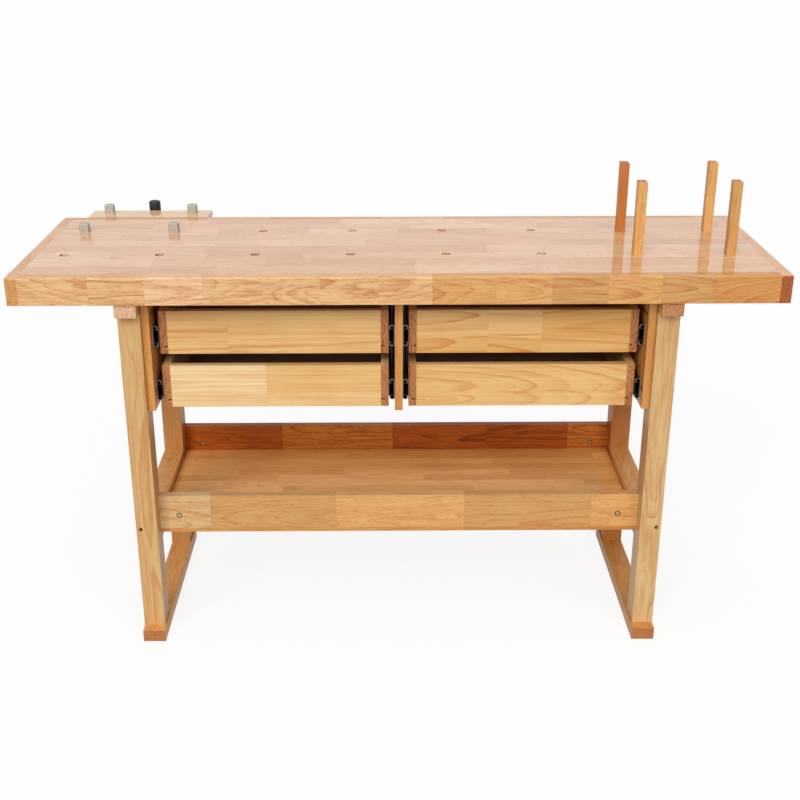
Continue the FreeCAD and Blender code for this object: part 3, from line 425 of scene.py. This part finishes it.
def wood(node, axes, look, strips=None, layers=None, run=LONG_RUN, order=(), seed=0):
    """Gives a CAD node a solid wood, glued up of strips that are made of shorter pieces.

    Axes are those of the grain and across it. Strips and layers are spans across the face and into the
    depth. Run is the usual length of a piece, or the spans of the pieces. Order is the tones of the pieces
    in the last strip. Seed sets a board apart from others.
    """
    material, tree, shader = new_material(f"{look['kind']}_{node}")
    place = add(tree, PLACE).node.outputs
    spot = add(tree, SPLIT, {0: place["Object"]}).node.outputs
    grain, across = axes
    thick = "XYZ".replace(grain, "").replace(across, "")
    along = spot[grain]

    # Pieces of each strip and layer, and what chance gives them
    strips = strips or [box_span(node, across)]
    layers = layers or [box_span(node, thick)]
    first = BOARD_SHIFT * seed
    strip_number, over, to_strip = cells(tree, spot[across], strips, first)
    layer_number, deep, _ = cells(tree, spot[thick], layers)
    if isinstance(run, list):
        run_number, lengthwise, to_run = cells(tree, along, run)
    else:
        strip_id = add(tree, JOIN, {0: strip_number, 1: layer_number, 2: 0.5})
        run_number, lengthwise, to_run = uneven_runs(tree, along, run, strip_id)
    piece_id = add(tree, JOIN, {0: strip_number, 1: layer_number, 2: run_number})
    chance = add(tree, HASH, {"Vector": piece_id}, noise_dimensions="3D").node.outputs

    # Patterns of the grain; the pores are drawn about twice as coarse as real ones so that they show
    here = add(tree, JOIN, {0: along, 1: over, 2: deep})
    patterns = {}
    for pattern, (lengthways, crossways), detail, roughness in (
            ("waves", RING_WAVES, 2, 0.5), ("fibres", look["fibres"], 4, 0.6),
            ("blotches", BLOTCHES, 2, 0.5), ("pores", PORES, 1, 0.5)):
        scales = (lengthways, crossways, crossways)
        scaled = add(tree, VECTOR, {0: here, 1: scales}, operation="MULTIPLY")
        moved = add(tree, VECTOR, {0: chance["Color"], 1: PIECE_SHIFT, 2: scaled}, operation="MULTIPLY_ADD")
        noise = {"Vector": moved, "Scale": 1.0, "Detail": detail, "Roughness": roughness}
        patterns[pattern] = add(tree, NOISE, noise).node.outputs
    ring = growth_rings(tree, look, chance, patterns["waves"]["Color"], lengthwise, over, deep)
    fibre, blotch = patterns["fibres"][0], patterns["blotches"][0]
    none, full = PORE_EDGE
    pore = add(tree, RAMP, {0: patterns["pores"][0]}, stops=[(none, grey(0)), (full, grey(1))])

    # Tone of the piece: by chance and layer, or by its place in the order
    tones = look["tones"]
    last = len(tones) - 1
    chances = add(tree, SPLIT, {0: chance["Color"]}).node.outputs
    pick = calc(tree, "MULTIPLY", chances["X"], 1 - look["deeper"])
    pick = calc(tree, "MULTIPLY_ADD", layer_number, look["deeper"], pick)
    tone = add(tree, RAMP, {0: pick}, stops=[(0.1 + 0.8 * i / last, tones[i]) for i in range(last + 1)])
    if order:
        count = len(order)
        pick = calc(tree, "MULTIPLY_ADD", run_number, 1 / count, 0.5 / count)
        stops = [(i / count, order[i]) for i in range(count)]
        placed = add(tree, RAMP, {0: pick}, stops=stops, blend="CONSTANT")
        in_last = calc(tree, "GREATER_THAN", strip_number, first + len(strips) - 1.5)
        tone = mix(tree, in_last, tone, placed)

    # End grain, with rings of its own colour
    end = faces_across(tree, place, grain, 0.7)
    end_share = calc(tree, "MULTIPLY", end, END_SHARE)
    sawn = mix(tree, layer_number, look["ends"], look.get("far_ends", look["ends"]))
    tone = mix(tree, end_share, tone, sawn)
    end_late = add(tree, VECTOR, {0: sawn, 1: END_RING_TINT}, operation="MULTIPLY")
    late = mix(tree, end, look["late"], end_late)

    # Colour: tone, marks of rings, fibres, blotches and pores, and glue seams
    ring_share = calc(tree, "MULTIPLY_ADD", end, END_RING_GAIN, look["figure"])
    marks = calc(tree, "MULTIPLY", ring, ring_share)
    pore_mark = (0.0, look["pores"])
    for pattern, (middle, share) in ((fibre, FIBRE_MARK), (blotch, BLOTCH_MARK), (pore, pore_mark)):
        above = calc(tree, "MULTIPLY_ADD", pattern, share, -middle * share)
        marks = calc(tree, "ADD", marks, above)
    marks = add(tree, "ShaderNodeClamp", {0: marks})
    face = mix(tree, marks, tone, late)
    to_seam = calc(tree, "MINIMUM", to_strip, to_run)
    seam = remap(tree, to_seam, (0, SEAM_WIDTH), (SEAM_SHARE, 0))
    shown = mix(tree, seam, face, bpy.context.scene.bench_colours.seam)
    tree.links.new(shown, shader.inputs["Base Color"])

    # Surface: fibres under a clear lacquer
    rough = remap(tree, fibre, NOISE_RANGE, BARE_ROUGHNESS)
    tree.links.new(rough, shader.inputs["Roughness"])
    relief = calc(tree, "MULTIPLY_ADD", pore, -0.6, fibre)
    bump = add(tree, "ShaderNodeBump", {"Strength": 0.15, "Distance": FIBRE_HEIGHT, "Height": relief})
    tree.links.new(bump, shader.inputs["Normal"])
    coat_weight, coat_roughness = look["gloss"]
    shader.inputs["Specular IOR Level"].default_value = 0.2
    shader.inputs["Coat Weight"].default_value = coat_weight
    shader.inputs["Coat Roughness"].default_value = coat_roughness
    dress([node], material)


def look_of(species, tones, gloss, **changes):
    """Look of a wood by its species, with the tones of its pieces, its lacquer's weight and roughness, and
    what is different about this board.

    Kind begins the material's name. Gap is the width of a growth ring. Figure and pores say how strongly
    these show, fibres how often they repeat per metre along and across, lean how steep the pith is, and
    wander how far the rings wave, in metres. Deeper is how much the second layer is drawn to the last tone.
    """
    colours = bpy.context.scene.bench_colours
    sizes = bpy.context.scene.bench_sizes
    looks = {
        "rubberwood": {"late": colours.frame_late, "gap": sizes.ring_gap, "figure": 0.4, "pores": 0.3,
                       "fibres": (10, 260), "lean": 0.1, "wander": 0.03},
        "pine": {"late": colours.pine_late, "gap": sizes.pine_ring_gap, "figure": 0.6, "pores": 0.06,
                 "fibres": (3, 210), "lean": 0.03, "wander": 0.015},
    }
    shared = {"kind": f"lacquered_{species}", "ends": colours.end_grain, "deeper": 0.0, "tones": tones,
              "gloss": gloss}
    return {**shared, **looks[species], **changes}


def finish(name, pale, dark, mottle_size, rough, metallic=0.0, relief=0.0002, ends=None, shaded_rim=None):
    """Metal, paint or rubber with a fine mottle, whose size is given along X, Y and Z in metres.

    Ends is the colour of bare metal on the faces across Y, where a rolled section was cut off.
    Shaded rim is a node of pins along Y, in two columns, whose round ends get a dark edge of painted shade,
    for the shadow in the gap round each.
    """
    material, tree, shader = new_material(name)
    place = add(tree, PLACE).node.outputs
    scales = tuple(1 / size for size in mottle_size)
    scaled = add(tree, VECTOR, {0: place["Object"], 1: scales}, operation="MULTIPLY")
    mottle = add(tree, NOISE, {"Vector": scaled, "Scale": 1.0, "Detail": 3.0})
    shown = add(tree, RAMP, {0: mottle}, stops=list(zip(NOISE_RANGE, (dark, pale))))
    shader.inputs["Metallic"].default_value = metallic
    if ends:
        cut = faces_across(tree, place, "Y", 0.9)
        shown = mix(tree, cut, shown, ends)
        tree.links.new(cut, shader.inputs["Metallic"])
    # Painted shade: a dark ring at the edge of each pin's end, for the shadow in the gap round it
    if shaded_rim:
        spot = add(tree, SPLIT, {0: place["Object"]}).node.outputs
        low, high = box_span(shaded_rim, "Z")
        width = high - low
        across = cells(tree, spot["X"], like_spans(shaded_rim, "X", width))[1]
        upright = calc(tree, "SUBTRACT", spot["Z"], (low + high) / 2)
        spoke = add(tree, JOIN, {0: across, 1: upright})
        radius = add(tree, VECTOR, {0: spoke}, operation="LENGTH").node.outputs["Value"]
        rim_shade_share = remap(tree, radius, [share * width for share in RIM_PAINTED_SHADE_EDGE], (0, 1))
        shown = mix(tree, rim_shade_share, shown, shade(dark, RIM_PAINTED_SHADE))
    tree.links.new(shown, shader.inputs["Base Color"])
    roughness = remap(tree, mottle, NOISE_RANGE, rough)
    tree.links.new(roughness, shader.inputs["Roughness"])
    bump = add(tree, "ShaderNodeBump", {"Strength": 0.3, "Distance": relief, "Height": mottle})
    tree.links.new(bump, shader.inputs["Normal"])
    return material


def dress(names, material):
    """Gives CAD nodes a material."""
    for name in names:
        for slot in NODES[name].material_slots:
            slot.material = material


def ease_edges(names, width):
    """Rounds the sawn edges of CAD nodes a little, as sanding does."""
    for name in names:
        weld = NODES[name].modifiers.new("Joined faces", "WELD")
        weld.merge_threshold = SAME_CORNER
        bevel = NODES[name].modifiers.new("Eased edges", "BEVEL")
        bevel.width = width
        bevel.segments = 2
        bevel.limit_method = "ANGLE"
        bevel.angle_limit = math.radians(50)
        bevel.harden_normals = True


def new_piece(name, mesh, material, body):
    """Piece of the scene that rides on a body."""
    piece = bpy.data.objects.new(name, mesh)
    bpy.context.scene.collection.objects.link(piece)
    mesh.materials.clear()
    mesh.materials.append(material)
    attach(piece, body)
    return piece


class BENCH_OT_stage(bpy.types.Operator):
    """Sets up the studio: white floor, soft light and the camera"""
    bl_idname = "bench.stage"
    bl_label = "Studio"

    def execute(self, context):
        studio = context.scene.bench_studio
        context.scene.view_settings.view_transform = "Standard"

        # Photographic paper: matt and white, whiter to the eye than to the light, with a soft shadow
        paper, tree, shader = new_material("white_studio_paper")
        shader.inputs["Roughness"].default_value = 0.9
        shader.inputs["Specular IOR Level"].default_value = 0.0
        seen = seen_rays(tree)
        to_light, to_eye = FLOOR_GREYS
        tint = add(tree, RAMP, {0: seen}, stops=[(0, grey(to_light)), (1, grey(to_eye))])
        tree.links.new(tint, shader.inputs["Base Color"])
        glow = calc(tree, "MULTIPLY", seen, FLOOR_GLOW)
        white = add(tree, "ShaderNodeEmission", {"Color": (1, 1, 1, 1), "Strength": 1.0})
        mixed = add(tree, "ShaderNodeMixShader", {0: glow, 1: shader.outputs[0], 2: white})
        tree.links.new(mixed, tree.nodes["Material Output"].inputs["Surface"])
        mesh = bpy.data.meshes.new("studio_floor")
        sheet = bmesh.new()
        bmesh.ops.create_grid(sheet, x_segments=4, y_segments=4, size=FLOOR_REACH)
        sheet.to_mesh(mesh)
        sheet.free()
        mesh.materials.append(paper)
        floor = bpy.data.objects.new("studio_floor", mesh)
        floor.location.z = -FLOOR_DROP
        context.scene.collection.objects.link(floor)

        # World: even light from all round, seen as white
        world = bpy.data.worlds.new("white_studio")
        world.use_nodes = True
        tree = world.node_tree
        seen = seen_rays(tree)
        level = calc(tree, "MULTIPLY_ADD", seen, 1 - studio.ambient, studio.ambient)
        tree.nodes["Background"].inputs["Color"].default_value = (1, 1, 1, 1)
        tree.links.new(level, tree.nodes["Background"].inputs["Strength"])
        context.scene.world = world

        # Four soft lights: two keys before the bench, a low one that fills the fronts, and one overhead
        for name, strength, degrees, aim in (
                ("left_key_light", studio.left_key_strength, 28, (0.35, 0.8, -0.58)),
                ("right_key_light", studio.right_key_strength, 28, (-0.45, 0.8, -0.58)),
                ("fill_light", studio.fill_strength, 14, (0.0, 1.0, -0.15)),
                ("top_light", studio.top_strength, 60, (0.1, 0.15, -1.0))):
            lamp = bpy.data.lights.new(name, "SUN")
            lamp.energy = strength
            lamp.angle = math.radians(degrees)
            light = bpy.data.objects.new(name, lamp)
            light.rotation_euler = Vector(aim).to_track_quat("-Z", "Y").to_euler()
            context.scene.collection.objects.link(light)

        # Camera
        yaw, pitch, roll = studio.camera_yaw, studio.camera_pitch, studio.camera_roll
        level_ahead = Vector((math.sin(yaw), math.cos(yaw), 0))
        ahead = level_ahead * math.cos(pitch) - Vector((0, 0, math.sin(pitch)))
        level_right = Vector((math.cos(yaw), -math.sin(yaw), 0))
        level_up = level_right.cross(ahead)
        right = level_right * math.cos(roll) + level_up * math.sin(roll)
        up = level_up * math.cos(roll) - level_right * math.sin(roll)
        view = bpy.data.cameras.new("camera")
        view.sensor_width = 36
        view.lens = studio.lens
        view.shift_x, view.shift_y = studio.shift
        camera = bpy.data.objects.new("camera", view)
        turn = Matrix((right, up, -ahead)).transposed().to_4x4()
        camera.matrix_world = Matrix.Translation(studio.camera_place) @ turn
        context.scene.collection.objects.link(camera)
        context.scene.camera = camera
        return {"FINISHED"}


class BENCH_OT_top(bpy.types.Operator):
    """Finishes the top: glued panel, aprons and the cleats below"""
    bl_idname = "bench.top"
    bl_label = "Top"

    def execute(self, context):
        colours = context.scene.bench_colours
        sizes = context.scene.bench_sizes

        # Rubberwood, strip-glued and thickly lacquered: pinkish strips of many tones under a mirror gloss
        top_tones = (colours.top_pale, colours.top_honey, colours.top_honey, colours.top_brown)
        glossy = look_of("rubberwood", top_tones, (0.85, 0.04), figure=0.2)
        staves = joint_spans("top_staves", "Y", "X")
        blocks = joint_spans("dog_blocks", "X", "Y")
        wood("top_staves", "XY", glossy, strips=staves, run=sizes.top_run)
        wood("dog_blocks", "XY", glossy, strips=staves, run=blocks)
        capped = {**glossy, "ends": colours.end_honey, "far_ends": colours.end_brown, "gloss": (0.5, 0.06),
                  "figure": 0.35}
        end_layers = like_spans("end_aprons", "X", END_APRON_WIDTH)
        wood("end_aprons", "YZ", capped, layers=end_layers, run=sizes.top_run, seed=5)

        # Rubberwood aprons: honey coloured, of short pieces end to end, under a clear gloss
        pale, honey, brown = colours.frame_pale, colours.frame_honey, colours.frame_brown
        pink, dull = colours.top_pale, colours.leg_honey
        apron = look_of("rubberwood", (pale, honey, honey, brown), (0.4, 0.08), figure=0.6, lean=0.15)
        joints = (-0.61, -0.5, -0.385, -0.27, -0.155, -0.04, 0.065, 0.19, 0.3, 0.41, 0.515, 0.62)
        order = (pale, pale, pink, pale, pale, pale, pale, honey, honey, dull, honey, dull, brown)
        wood("front_apron", "XZ", apron, run=joined_spans("front_apron", "X", joints), order=order, seed=3)
        wood("rear_apron", "XZ", apron, run=sizes.apron_run, seed=8)

        # Pine cleats: yellow and straight-grained, under a satin lacquer
        plain = look_of("pine", (colours.pine_honey, colours.pine_deep), (0.2, 0.15))
        wood("top_cleats", "YZ", plain, layers=like_spans("top_cleats", "X", CLEAT_WIDTH, 3), seed=2)
        ease_edges(["top_cleats"], sizes.eased_edge)
        return {"FINISHED"}


class BENCH_OT_trestles(bpy.types.Operator):
    """Finishes the trestles: legs, feet, bearers and side rails"""
    bl_idname = "bench.trestles"
    bl_label = "Trestles"

    def execute(self, context):
        colours = context.scene.bench_colours
        sizes = context.scene.bench_sizes
        # Rubberwood legs and rails: long straight grain under a satin lacquer
        satin = (0.12, 0.2)
        leg_tones = (colours.leg_pale, colours.leg_honey, colours.case_dark)
        legs = look_of("rubberwood", leg_tones, satin, figure=0.5, deeper=0.4, pores=0.12)
        wood("legs", "ZX", legs, strips=like_spans("legs", "X", LEG_WIDTH),
             layers=like_spans("legs", "Y", LEG_DEPTH), seed=4)
        brown_tones = (colours.case_honey, colours.case_brown, colours.frame_brown)
        brown = look_of("rubberwood", brown_tones, satin)
        wood("feet", "YX", brown, strips=like_spans("feet", "X", FOOT_WIDTH), seed=6)
        wood("side_rails", "YX", brown, strips=like_spans("side_rails", "X", SIDE_RAIL_WIDTH), seed=8)
        pale_tones = (colours.frame_pale, colours.frame_honey)
        pale = look_of("rubberwood", pale_tones, satin, ends=colours.end_pale, far_ends=colours.end_dull)
        wood("bearers", "YZ", pale, layers=like_spans("bearers", "X", BEARER_WIDTH), seed=7)
        ease_edges(["legs", "feet", "bearers", "side_rails"], sizes.eased_edge)
        return {"FINISHED"}


class BENCH_OT_shelf(bpy.types.Operator):
    """Finishes the shelf: its two rails, the board and the barrel nuts"""
    bl_idname = "bench.shelf"
    bl_label = "Shelf"

    def execute(self, context):
        colours = context.scene.bench_colours
        sizes = context.scene.bench_sizes
        # Rubberwood shelf: browner boards of long strips, under a satin lacquer
        front = look_of("rubberwood", (colours.frame_brown, colours.case_dark), (0.2, 0.15))
        pale, honey, dull = colours.leg_pale, colours.frame_honey, colours.leg_honey
        front_joints = (-0.407, -0.135, 0.142, 0.417)
        front_order = (pale, dull, honey, dull, honey)
        # Rear rail: its dark, red tones and dark growth rings are painted shade of the drawers above it
        light, dark = colours.rail_honey_painted_shade, colours.rail_brown_painted_shade
        rear = look_of("rubberwood", (light, dark), (0.1, 0.2), late=colours.rail_late_painted_shade, figure=0.8,
                       fibres=(4, 150), lean=0.06)
        rear_joints = (-0.28, -0.01, 0.22, 0.42)
        rear_order = (dark, light, dark, dark, light)
        for name, look, joints, order, seed in (
                ("shelf_front_rail", front, front_joints, front_order, 7),
                ("shelf_rear_rail", rear, rear_joints, rear_order, 9)):
            wood(name, "XZ", look, strips=strip_spans(name, "Z", sizes.rail_strip),
                 run=joined_spans(name, "X", joints), order=order, seed=seed)
        board = look_of("rubberwood", (colours.shelf_honey, colours.shelf_brown), (0.15, 0.15),
                        late=colours.shelf_late, pores=0.15)
        wood("shelf_board", "XY", board, strips=strip_spans("shelf_board", "Y", sizes.shelf_strip),
             run=sizes.board_run, seed=1)
        ease_edges(["shelf_front_rail", "shelf_rear_rail", "shelf_board"], sizes.eased_edge)

        # Turned brass, a little tarnished: fine lathe marks, a soft yellow shine, and a dark rim of painted
        # shade for the gap round each nut
        brass = finish("turned_brass", colours.brass, shade(colours.brass, 0.6), (0.0006, 0.0006, 0.0006),
                       (0.25, 0.4), metallic=1.0, relief=0.00005, shaded_rim="barrel_nuts")
        dress(["barrel_nuts"], brass)
        return {"FINISHED"}


class BENCH_OT_drawer_case(bpy.types.Operator):
    """Finishes the drawer case: side panels and centre divider"""
    bl_idname = "bench.drawer_case"
    bl_label = "Drawer case"

    def execute(self, context):
        colours = context.scene.bench_colours
        sizes = context.scene.bench_sizes
        # Rubberwood panels: brown upright strips, under a satin lacquer
        side_tones = (colours.case_honey, colours.case_brown, colours.frame_brown)
        divider_tones = (colours.frame_brown, colours.case_dark)
        side_layers = like_spans("case_sides", "X", CASE_SIDE_WIDTH)
        for name, tones, layers, seed in (
                ("case_sides", side_tones, side_layers, 11),
                ("centre_divider", divider_tones, None, 12)):
            look = look_of("rubberwood", tones, (0.15, 0.2), figure=0.45)
            wood(name, "ZY", look, strips=strip_spans(name, "Y", sizes.case_strip), layers=layers,
                 run=sizes.board_run, seed=seed)
            ease_edges([name], sizes.eased_edge)
        return {"FINISHED"}


class BENCH_OT_drawers(bpy.types.Operator):
    """Finishes the four drawers: fronts, backs, sides and bottoms"""
    bl_idname = "bench.drawers"
    bl_label = "Drawers"

    def execute(self, context):
        colours = context.scene.bench_colours
        sizes = context.scene.bench_sizes
        pale, honey, deep = colours.pine_pale, colours.pine_honey, colours.pine_deep
        # Joints of each front from left to right, tones of its pieces, lean of their pith, and their figure
        fronts = {
            "upper_left_drawer": ((-0.35,), (honey, honey), 0.02, 0.7),
            "upper_right_drawer": ((0.183, 0.293), (honey, honey, deep), 0.05, 0.7),
            "lower_left_drawer": ((-0.275,), (pale, honey), 0.01, 0.25),
            "lower_right_drawer": ((), (honey,), 0.12, 0.6),
        }
        for number, drawer in enumerate(DRAWERS):
            # Pine, edge-glued, under a satin lacquer: pale yellow with soft brown lines and flames
            joints, order, lean, figure = fronts[drawer]
            look = look_of("pine", (order[0], order[-1]), (0.2, 0.15), lean=lean, figure=figure)
            front, back, sides = [f"{drawer}_{part}" for part in ("front", "back", "sides")]
            seed = 13 + number
            wood(front, "XZ", look, strips=strip_spans(front, "Z", sizes.drawer_strip),
                 run=joined_spans(front, "X", joints), order=order, seed=seed)
            wood(back, "XZ", look, strips=strip_spans(back, "Z", sizes.drawer_strip), run=sizes.board_run,
                 seed=seed)
            wood(sides, "YZ", look, strips=strip_spans(sides, "Z", sizes.drawer_strip),
                 layers=like_spans(sides, "X", DRAWER_SIDE_WIDTH), run=sizes.board_run, seed=seed)
            ease_edges([front, back, sides], sizes.drawer_eased_edge)

            # Plywood, sealed: red brown and even, with broad faint figure; its dark tone is partly its own
            # and partly painted shade of the drawers' insides
            sealed = look_of("pine", (colours.plywood, colours.plywood), (0.0, 0.3), figure=0.25,
                             kind="sealed_plywood")
            wood(f"{drawer}_bottom", "XY", sealed, seed=33 + number)
        return {"FINISHED"}


class BENCH_OT_slides(bpy.types.Operator):
    """Finishes the drawer slides"""
    bl_idname = "bench.slides"
    bl_label = "Drawer slides"

    def execute(self, context):
        colours = context.scene.bench_colours
        # Rolled steel, stove-enamelled black: low sheen, with a duller grey line where each section was cut
        for part, names, brightness in (
                ("outer", ["slide_outer_members"], 0.5),
                ("inner", [f"{drawer}_slide_inner_members" for drawer in DRAWERS], 0.12),
                ("middle", [f"{drawer}_slide_middle_members" for drawer in DRAWERS], 0.06)):
            painted = finish(f"black_enamelled_steel_{part}", colours.black_paint,
                             shade(colours.black_paint, 0.5), (0.003, 0.003, 0.003), (0.3, 0.45),
                             relief=0.00005, ends=shade(colours.zinc, brightness))
            dress(names, painted)
        return {"FINISHED"}


def thread_ridge(mesh, axis, radius, depth, pitch, start, end):
    """Adds a screw's thread along Y to a mesh: a ridge that winds round a core."""
    steps = 24
    turns = (end - start - pitch) / pitch
    count = int(turns * steps)
    # Section of the ridge: offsets in pitches and drops below the crest, with its foot sunk into the core
    foot = -1.3 * depth
    section = ((-0.42, foot), (-0.2, 0), (0.2, 0), (0.42, foot))
    rows = []
    for i in range(count + 1):
        angle = 2 * math.pi * i / steps
        middle = start + pitch / 2 + pitch * i / steps
        row = []
        for offset, drop in section:
            reach = radius + drop
            row.append(mesh.verts.new((axis[0] + reach * math.cos(angle), middle + offset * pitch,
                                       axis[1] + reach * math.sin(angle))))
        rows.append(row)
    for before, after in zip(rows, rows[1:]):
        for i in range(len(section)):
            j = (i + 1) % len(section)
            mesh.faces.new((before[i], before[j], after[j], after[i]))
    mesh.faces.new(rows[0])
    mesh.faces.new(rows[-1][::-1])


class BENCH_OT_vise(bpy.types.Operator):
    """Finishes the vise: jaw, iron base and plate, rods, threaded screw and handle"""
    bl_idname = "bench.vise"
    bl_label = "Vise"

    def execute(self, context):
        colours = context.scene.bench_colours
        sizes = context.scene.bench_sizes
        # Rubberwood jaw: one thick pale block under the top's gloss
        look = look_of("rubberwood", (colours.top_pale, colours.top_pale), (0.85, 0.05), figure=0.25)
        wood("vise_jaw", "XZ", look, seed=41)

        # Grey iron, sand-cast and enamelled: pebbly black skin with a low sheen
        iron = finish("enamelled_cast_iron", colours.iron_enamel, shade(colours.iron_enamel, 0.5),
                      (0.002, 0.002, 0.002), (0.4, 0.6), relief=0.0006)
        dress(["vise_base"], iron)

        # Flat steel, painted black: smooth with a satin sheen
        painted = finish("black_painted_steel", colours.black_paint, shade(colours.black_paint, 0.5),
                         (0.003, 0.003, 0.003), (0.3, 0.45), relief=0.00005)
        dress(["vise_plate"], painted)

        # Drawn steel, zinc plated: bright with fine marks along the bar
        bright = finish("zinc_plated_steel", colours.zinc, shade(colours.zinc, 0.88),
                        (0.0015, 0.03, 0.0015), (0.2, 0.35), metallic=1.0, relief=0.00005)
        dress(["guide_rods", "screw_collar", "handle_bar", "vise_plate_screws", "vise_screw"], bright)

        # Moulded rubber: black and matt
        rubber = finish("moulded_rubber", colours.rubber, shade(colours.rubber, 0.6),
                        (0.0015, 0.0015, 0.0015), (0.5, 0.7))
        dress(["handle_caps"], rubber)

        # Threaded screw in place of the plain one, with its head as it is
        low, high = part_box("vise_screw")
        axis = ((low.x + high.x) / 2, (low.z + high.z) / 2)
        head_low = high.y - SCREW_HEAD_LENGTH
        journal = head_low - SCREW_JOURNAL_LENGTH
        core = SCREW_RADIUS - sizes.thread_depth
        mesh = bmesh.new()
        mesh.from_mesh(NODES["vise_screw"].data)
        bmesh.ops.remove_doubles(mesh, verts=mesh.verts, dist=SAME_CORNER)
        plain = [face for face in mesh.faces if min(vert.co.y for vert in face.verts) < head_low - SAME_FACE]
        bmesh.ops.delete(mesh, geom=plain, context="FACES")
        turn = Matrix.Rotation(math.pi / 2, 4, "X")
        for radius, start, end in ((core, low.y, journal), (SCREW_RADIUS, journal, head_low)):
            place = Matrix.Translation((axis[0], (start + end) / 2, axis[1])) @ turn
            bmesh.ops.create_cone(mesh, cap_ends=True, segments=48, radius1=radius, radius2=radius,
                                  depth=end - start, matrix=place)
        thread_ridge(mesh, axis, SCREW_RADIUS, sizes.thread_depth, sizes.thread_pitch, low.y, journal)
        bmesh.ops.recalc_face_normals(mesh, faces=mesh.faces)
        data = bpy.data.meshes.new("threaded_vise_screw")
        mesh.to_mesh(data)
        mesh.free()
        data.shade_smooth()
        data.set_sharp_from_angle(angle=math.radians(35))
        piece = new_piece("threaded_vise_screw", data, bright, "vise_screw")
        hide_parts("vise_screw")
        return {"FINISHED"}


class BENCH_OT_dogs_and_pegs(bpy.types.Operator):
    """Finishes the bench dogs and the upright pegs"""
    bl_idname = "bench.dogs_and_pegs"
    bl_label = "Dogs and pegs"

    def execute(self, context):
        colours = context.scene.bench_colours
        sizes = context.scene.bench_sizes
        # Bare steel, ground and dulled: soft grey with a grainy skin
        dull = finish("dull_ground_steel", colours.grey_steel, shade(colours.grey_steel, 0.75),
                      (0.003, 0.003, 0.003), (0.55, 0.7), metallic=0.4, relief=0.0001)
        dress([f"{place}_{side}_dog" for place in ("top", "jaw") for side in SIDES], dull)

        # Rubberwood pegs: honey to red brown and straight-grained, under a satin lacquer
        for name, tone, seed in (
                ("front_left_peg", colours.frame_honey, 51),
                ("front_right_peg", colours.leg_honey, 52),
                ("rear_left_peg", colours.case_dark, 53),
                ("rear_right_peg", colours.frame_honey, 54)):
            look = look_of("rubberwood", (tone, tone), (0.15, 0.15), figure=0.45)
            wood(name, "ZX", look, seed=seed)
            ease_edges([name], sizes.eased_edge)
        return {"FINISHED"}


class BENCH_OT_fasteners(bpy.types.Operator):
    """Finishes the frame bolts and wood screws"""
    bl_idname = "bench.fasteners"
    bl_label = "Fasteners"

    def execute(self, context):
        colours = context.scene.bench_colours
        # Steel, cold-formed and blackened: near black with worn bright spots
        black = finish("blackened_steel", shade(colours.black_paint, 2.5), colours.black_paint,
                       (0.001, 0.001, 0.001), (0.3, 0.5), metallic=0.8, relief=0.00005)
        dress(["frame_bolts"], black)

        # Steel, zinc plated: pale and bright
        zinc = finish("zinc_plated_screws", colours.zinc, shade(colours.zinc, 0.7), (0.001, 0.001, 0.001),
                      (0.25, 0.4), metallic=1.0, relief=0.00005)
        dress(["wood_screws"], zinc)
        return {"FINISHED"}


OPERATORS = (
    BENCH_OT_stage, BENCH_OT_top, BENCH_OT_trestles, BENCH_OT_shelf, BENCH_OT_drawer_case, BENCH_OT_drawers,
    BENCH_OT_slides, BENCH_OT_vise, BENCH_OT_dogs_and_pegs, BENCH_OT_fasteners,
)


class BENCH_PT_panel(bpy.types.Panel):
    """Lists the steps that dress the bench"""
    bl_idname = "BENCH_PT_panel"
    bl_label = "Workbench"
    bl_space_type = "VIEW_3D"
    bl_region_type = "UI"
    bl_category = "Workbench"

    def draw(self, context):
        for operator in OPERATORS:
            self.layout.operator(operator.bl_idname)
        for group in (context.scene.bench_colours, context.scene.bench_sizes, context.scene.bench_studio):
            box = self.layout.box()
            for name in group.__annotations__:
                box.prop(group, name)


GROUPS = {"bench_colours": BenchColours, "bench_sizes": BenchSizes, "bench_studio": BenchStudio}
CLASSES = (*GROUPS.values(), *OPERATORS, BENCH_PT_panel)


def register():
    """Registers the add-on's classes and settings."""
    for cls in CLASSES:
        bpy.utils.register_class(cls)
    for name, group in GROUPS.items():
        setattr(bpy.types.Scene, name, bpy.props.PointerProperty(type=group))


def unregister():
    """Takes the add-on's settings and classes out again."""
    for name in GROUPS:
        delattr(bpy.types.Scene, name)
    for cls in reversed(CLASSES):
        bpy.utils.unregister_class(cls)


def main():
    """Dresses the bench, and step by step."""
    register()
    bpy.ops.bench.stage()
    bpy.ops.bench.top()
    bpy.ops.bench.trestles()
    bpy.ops.bench.shelf()
    bpy.ops.bench.drawer_case()
    bpy.ops.bench.drawers()
    bpy.ops.bench.slides()
    bpy.ops.bench.vise()
    bpy.ops.bench.dogs_and_pegs()
    bpy.ops.bench.fasteners()


if __name__ == "__main__":
    main()
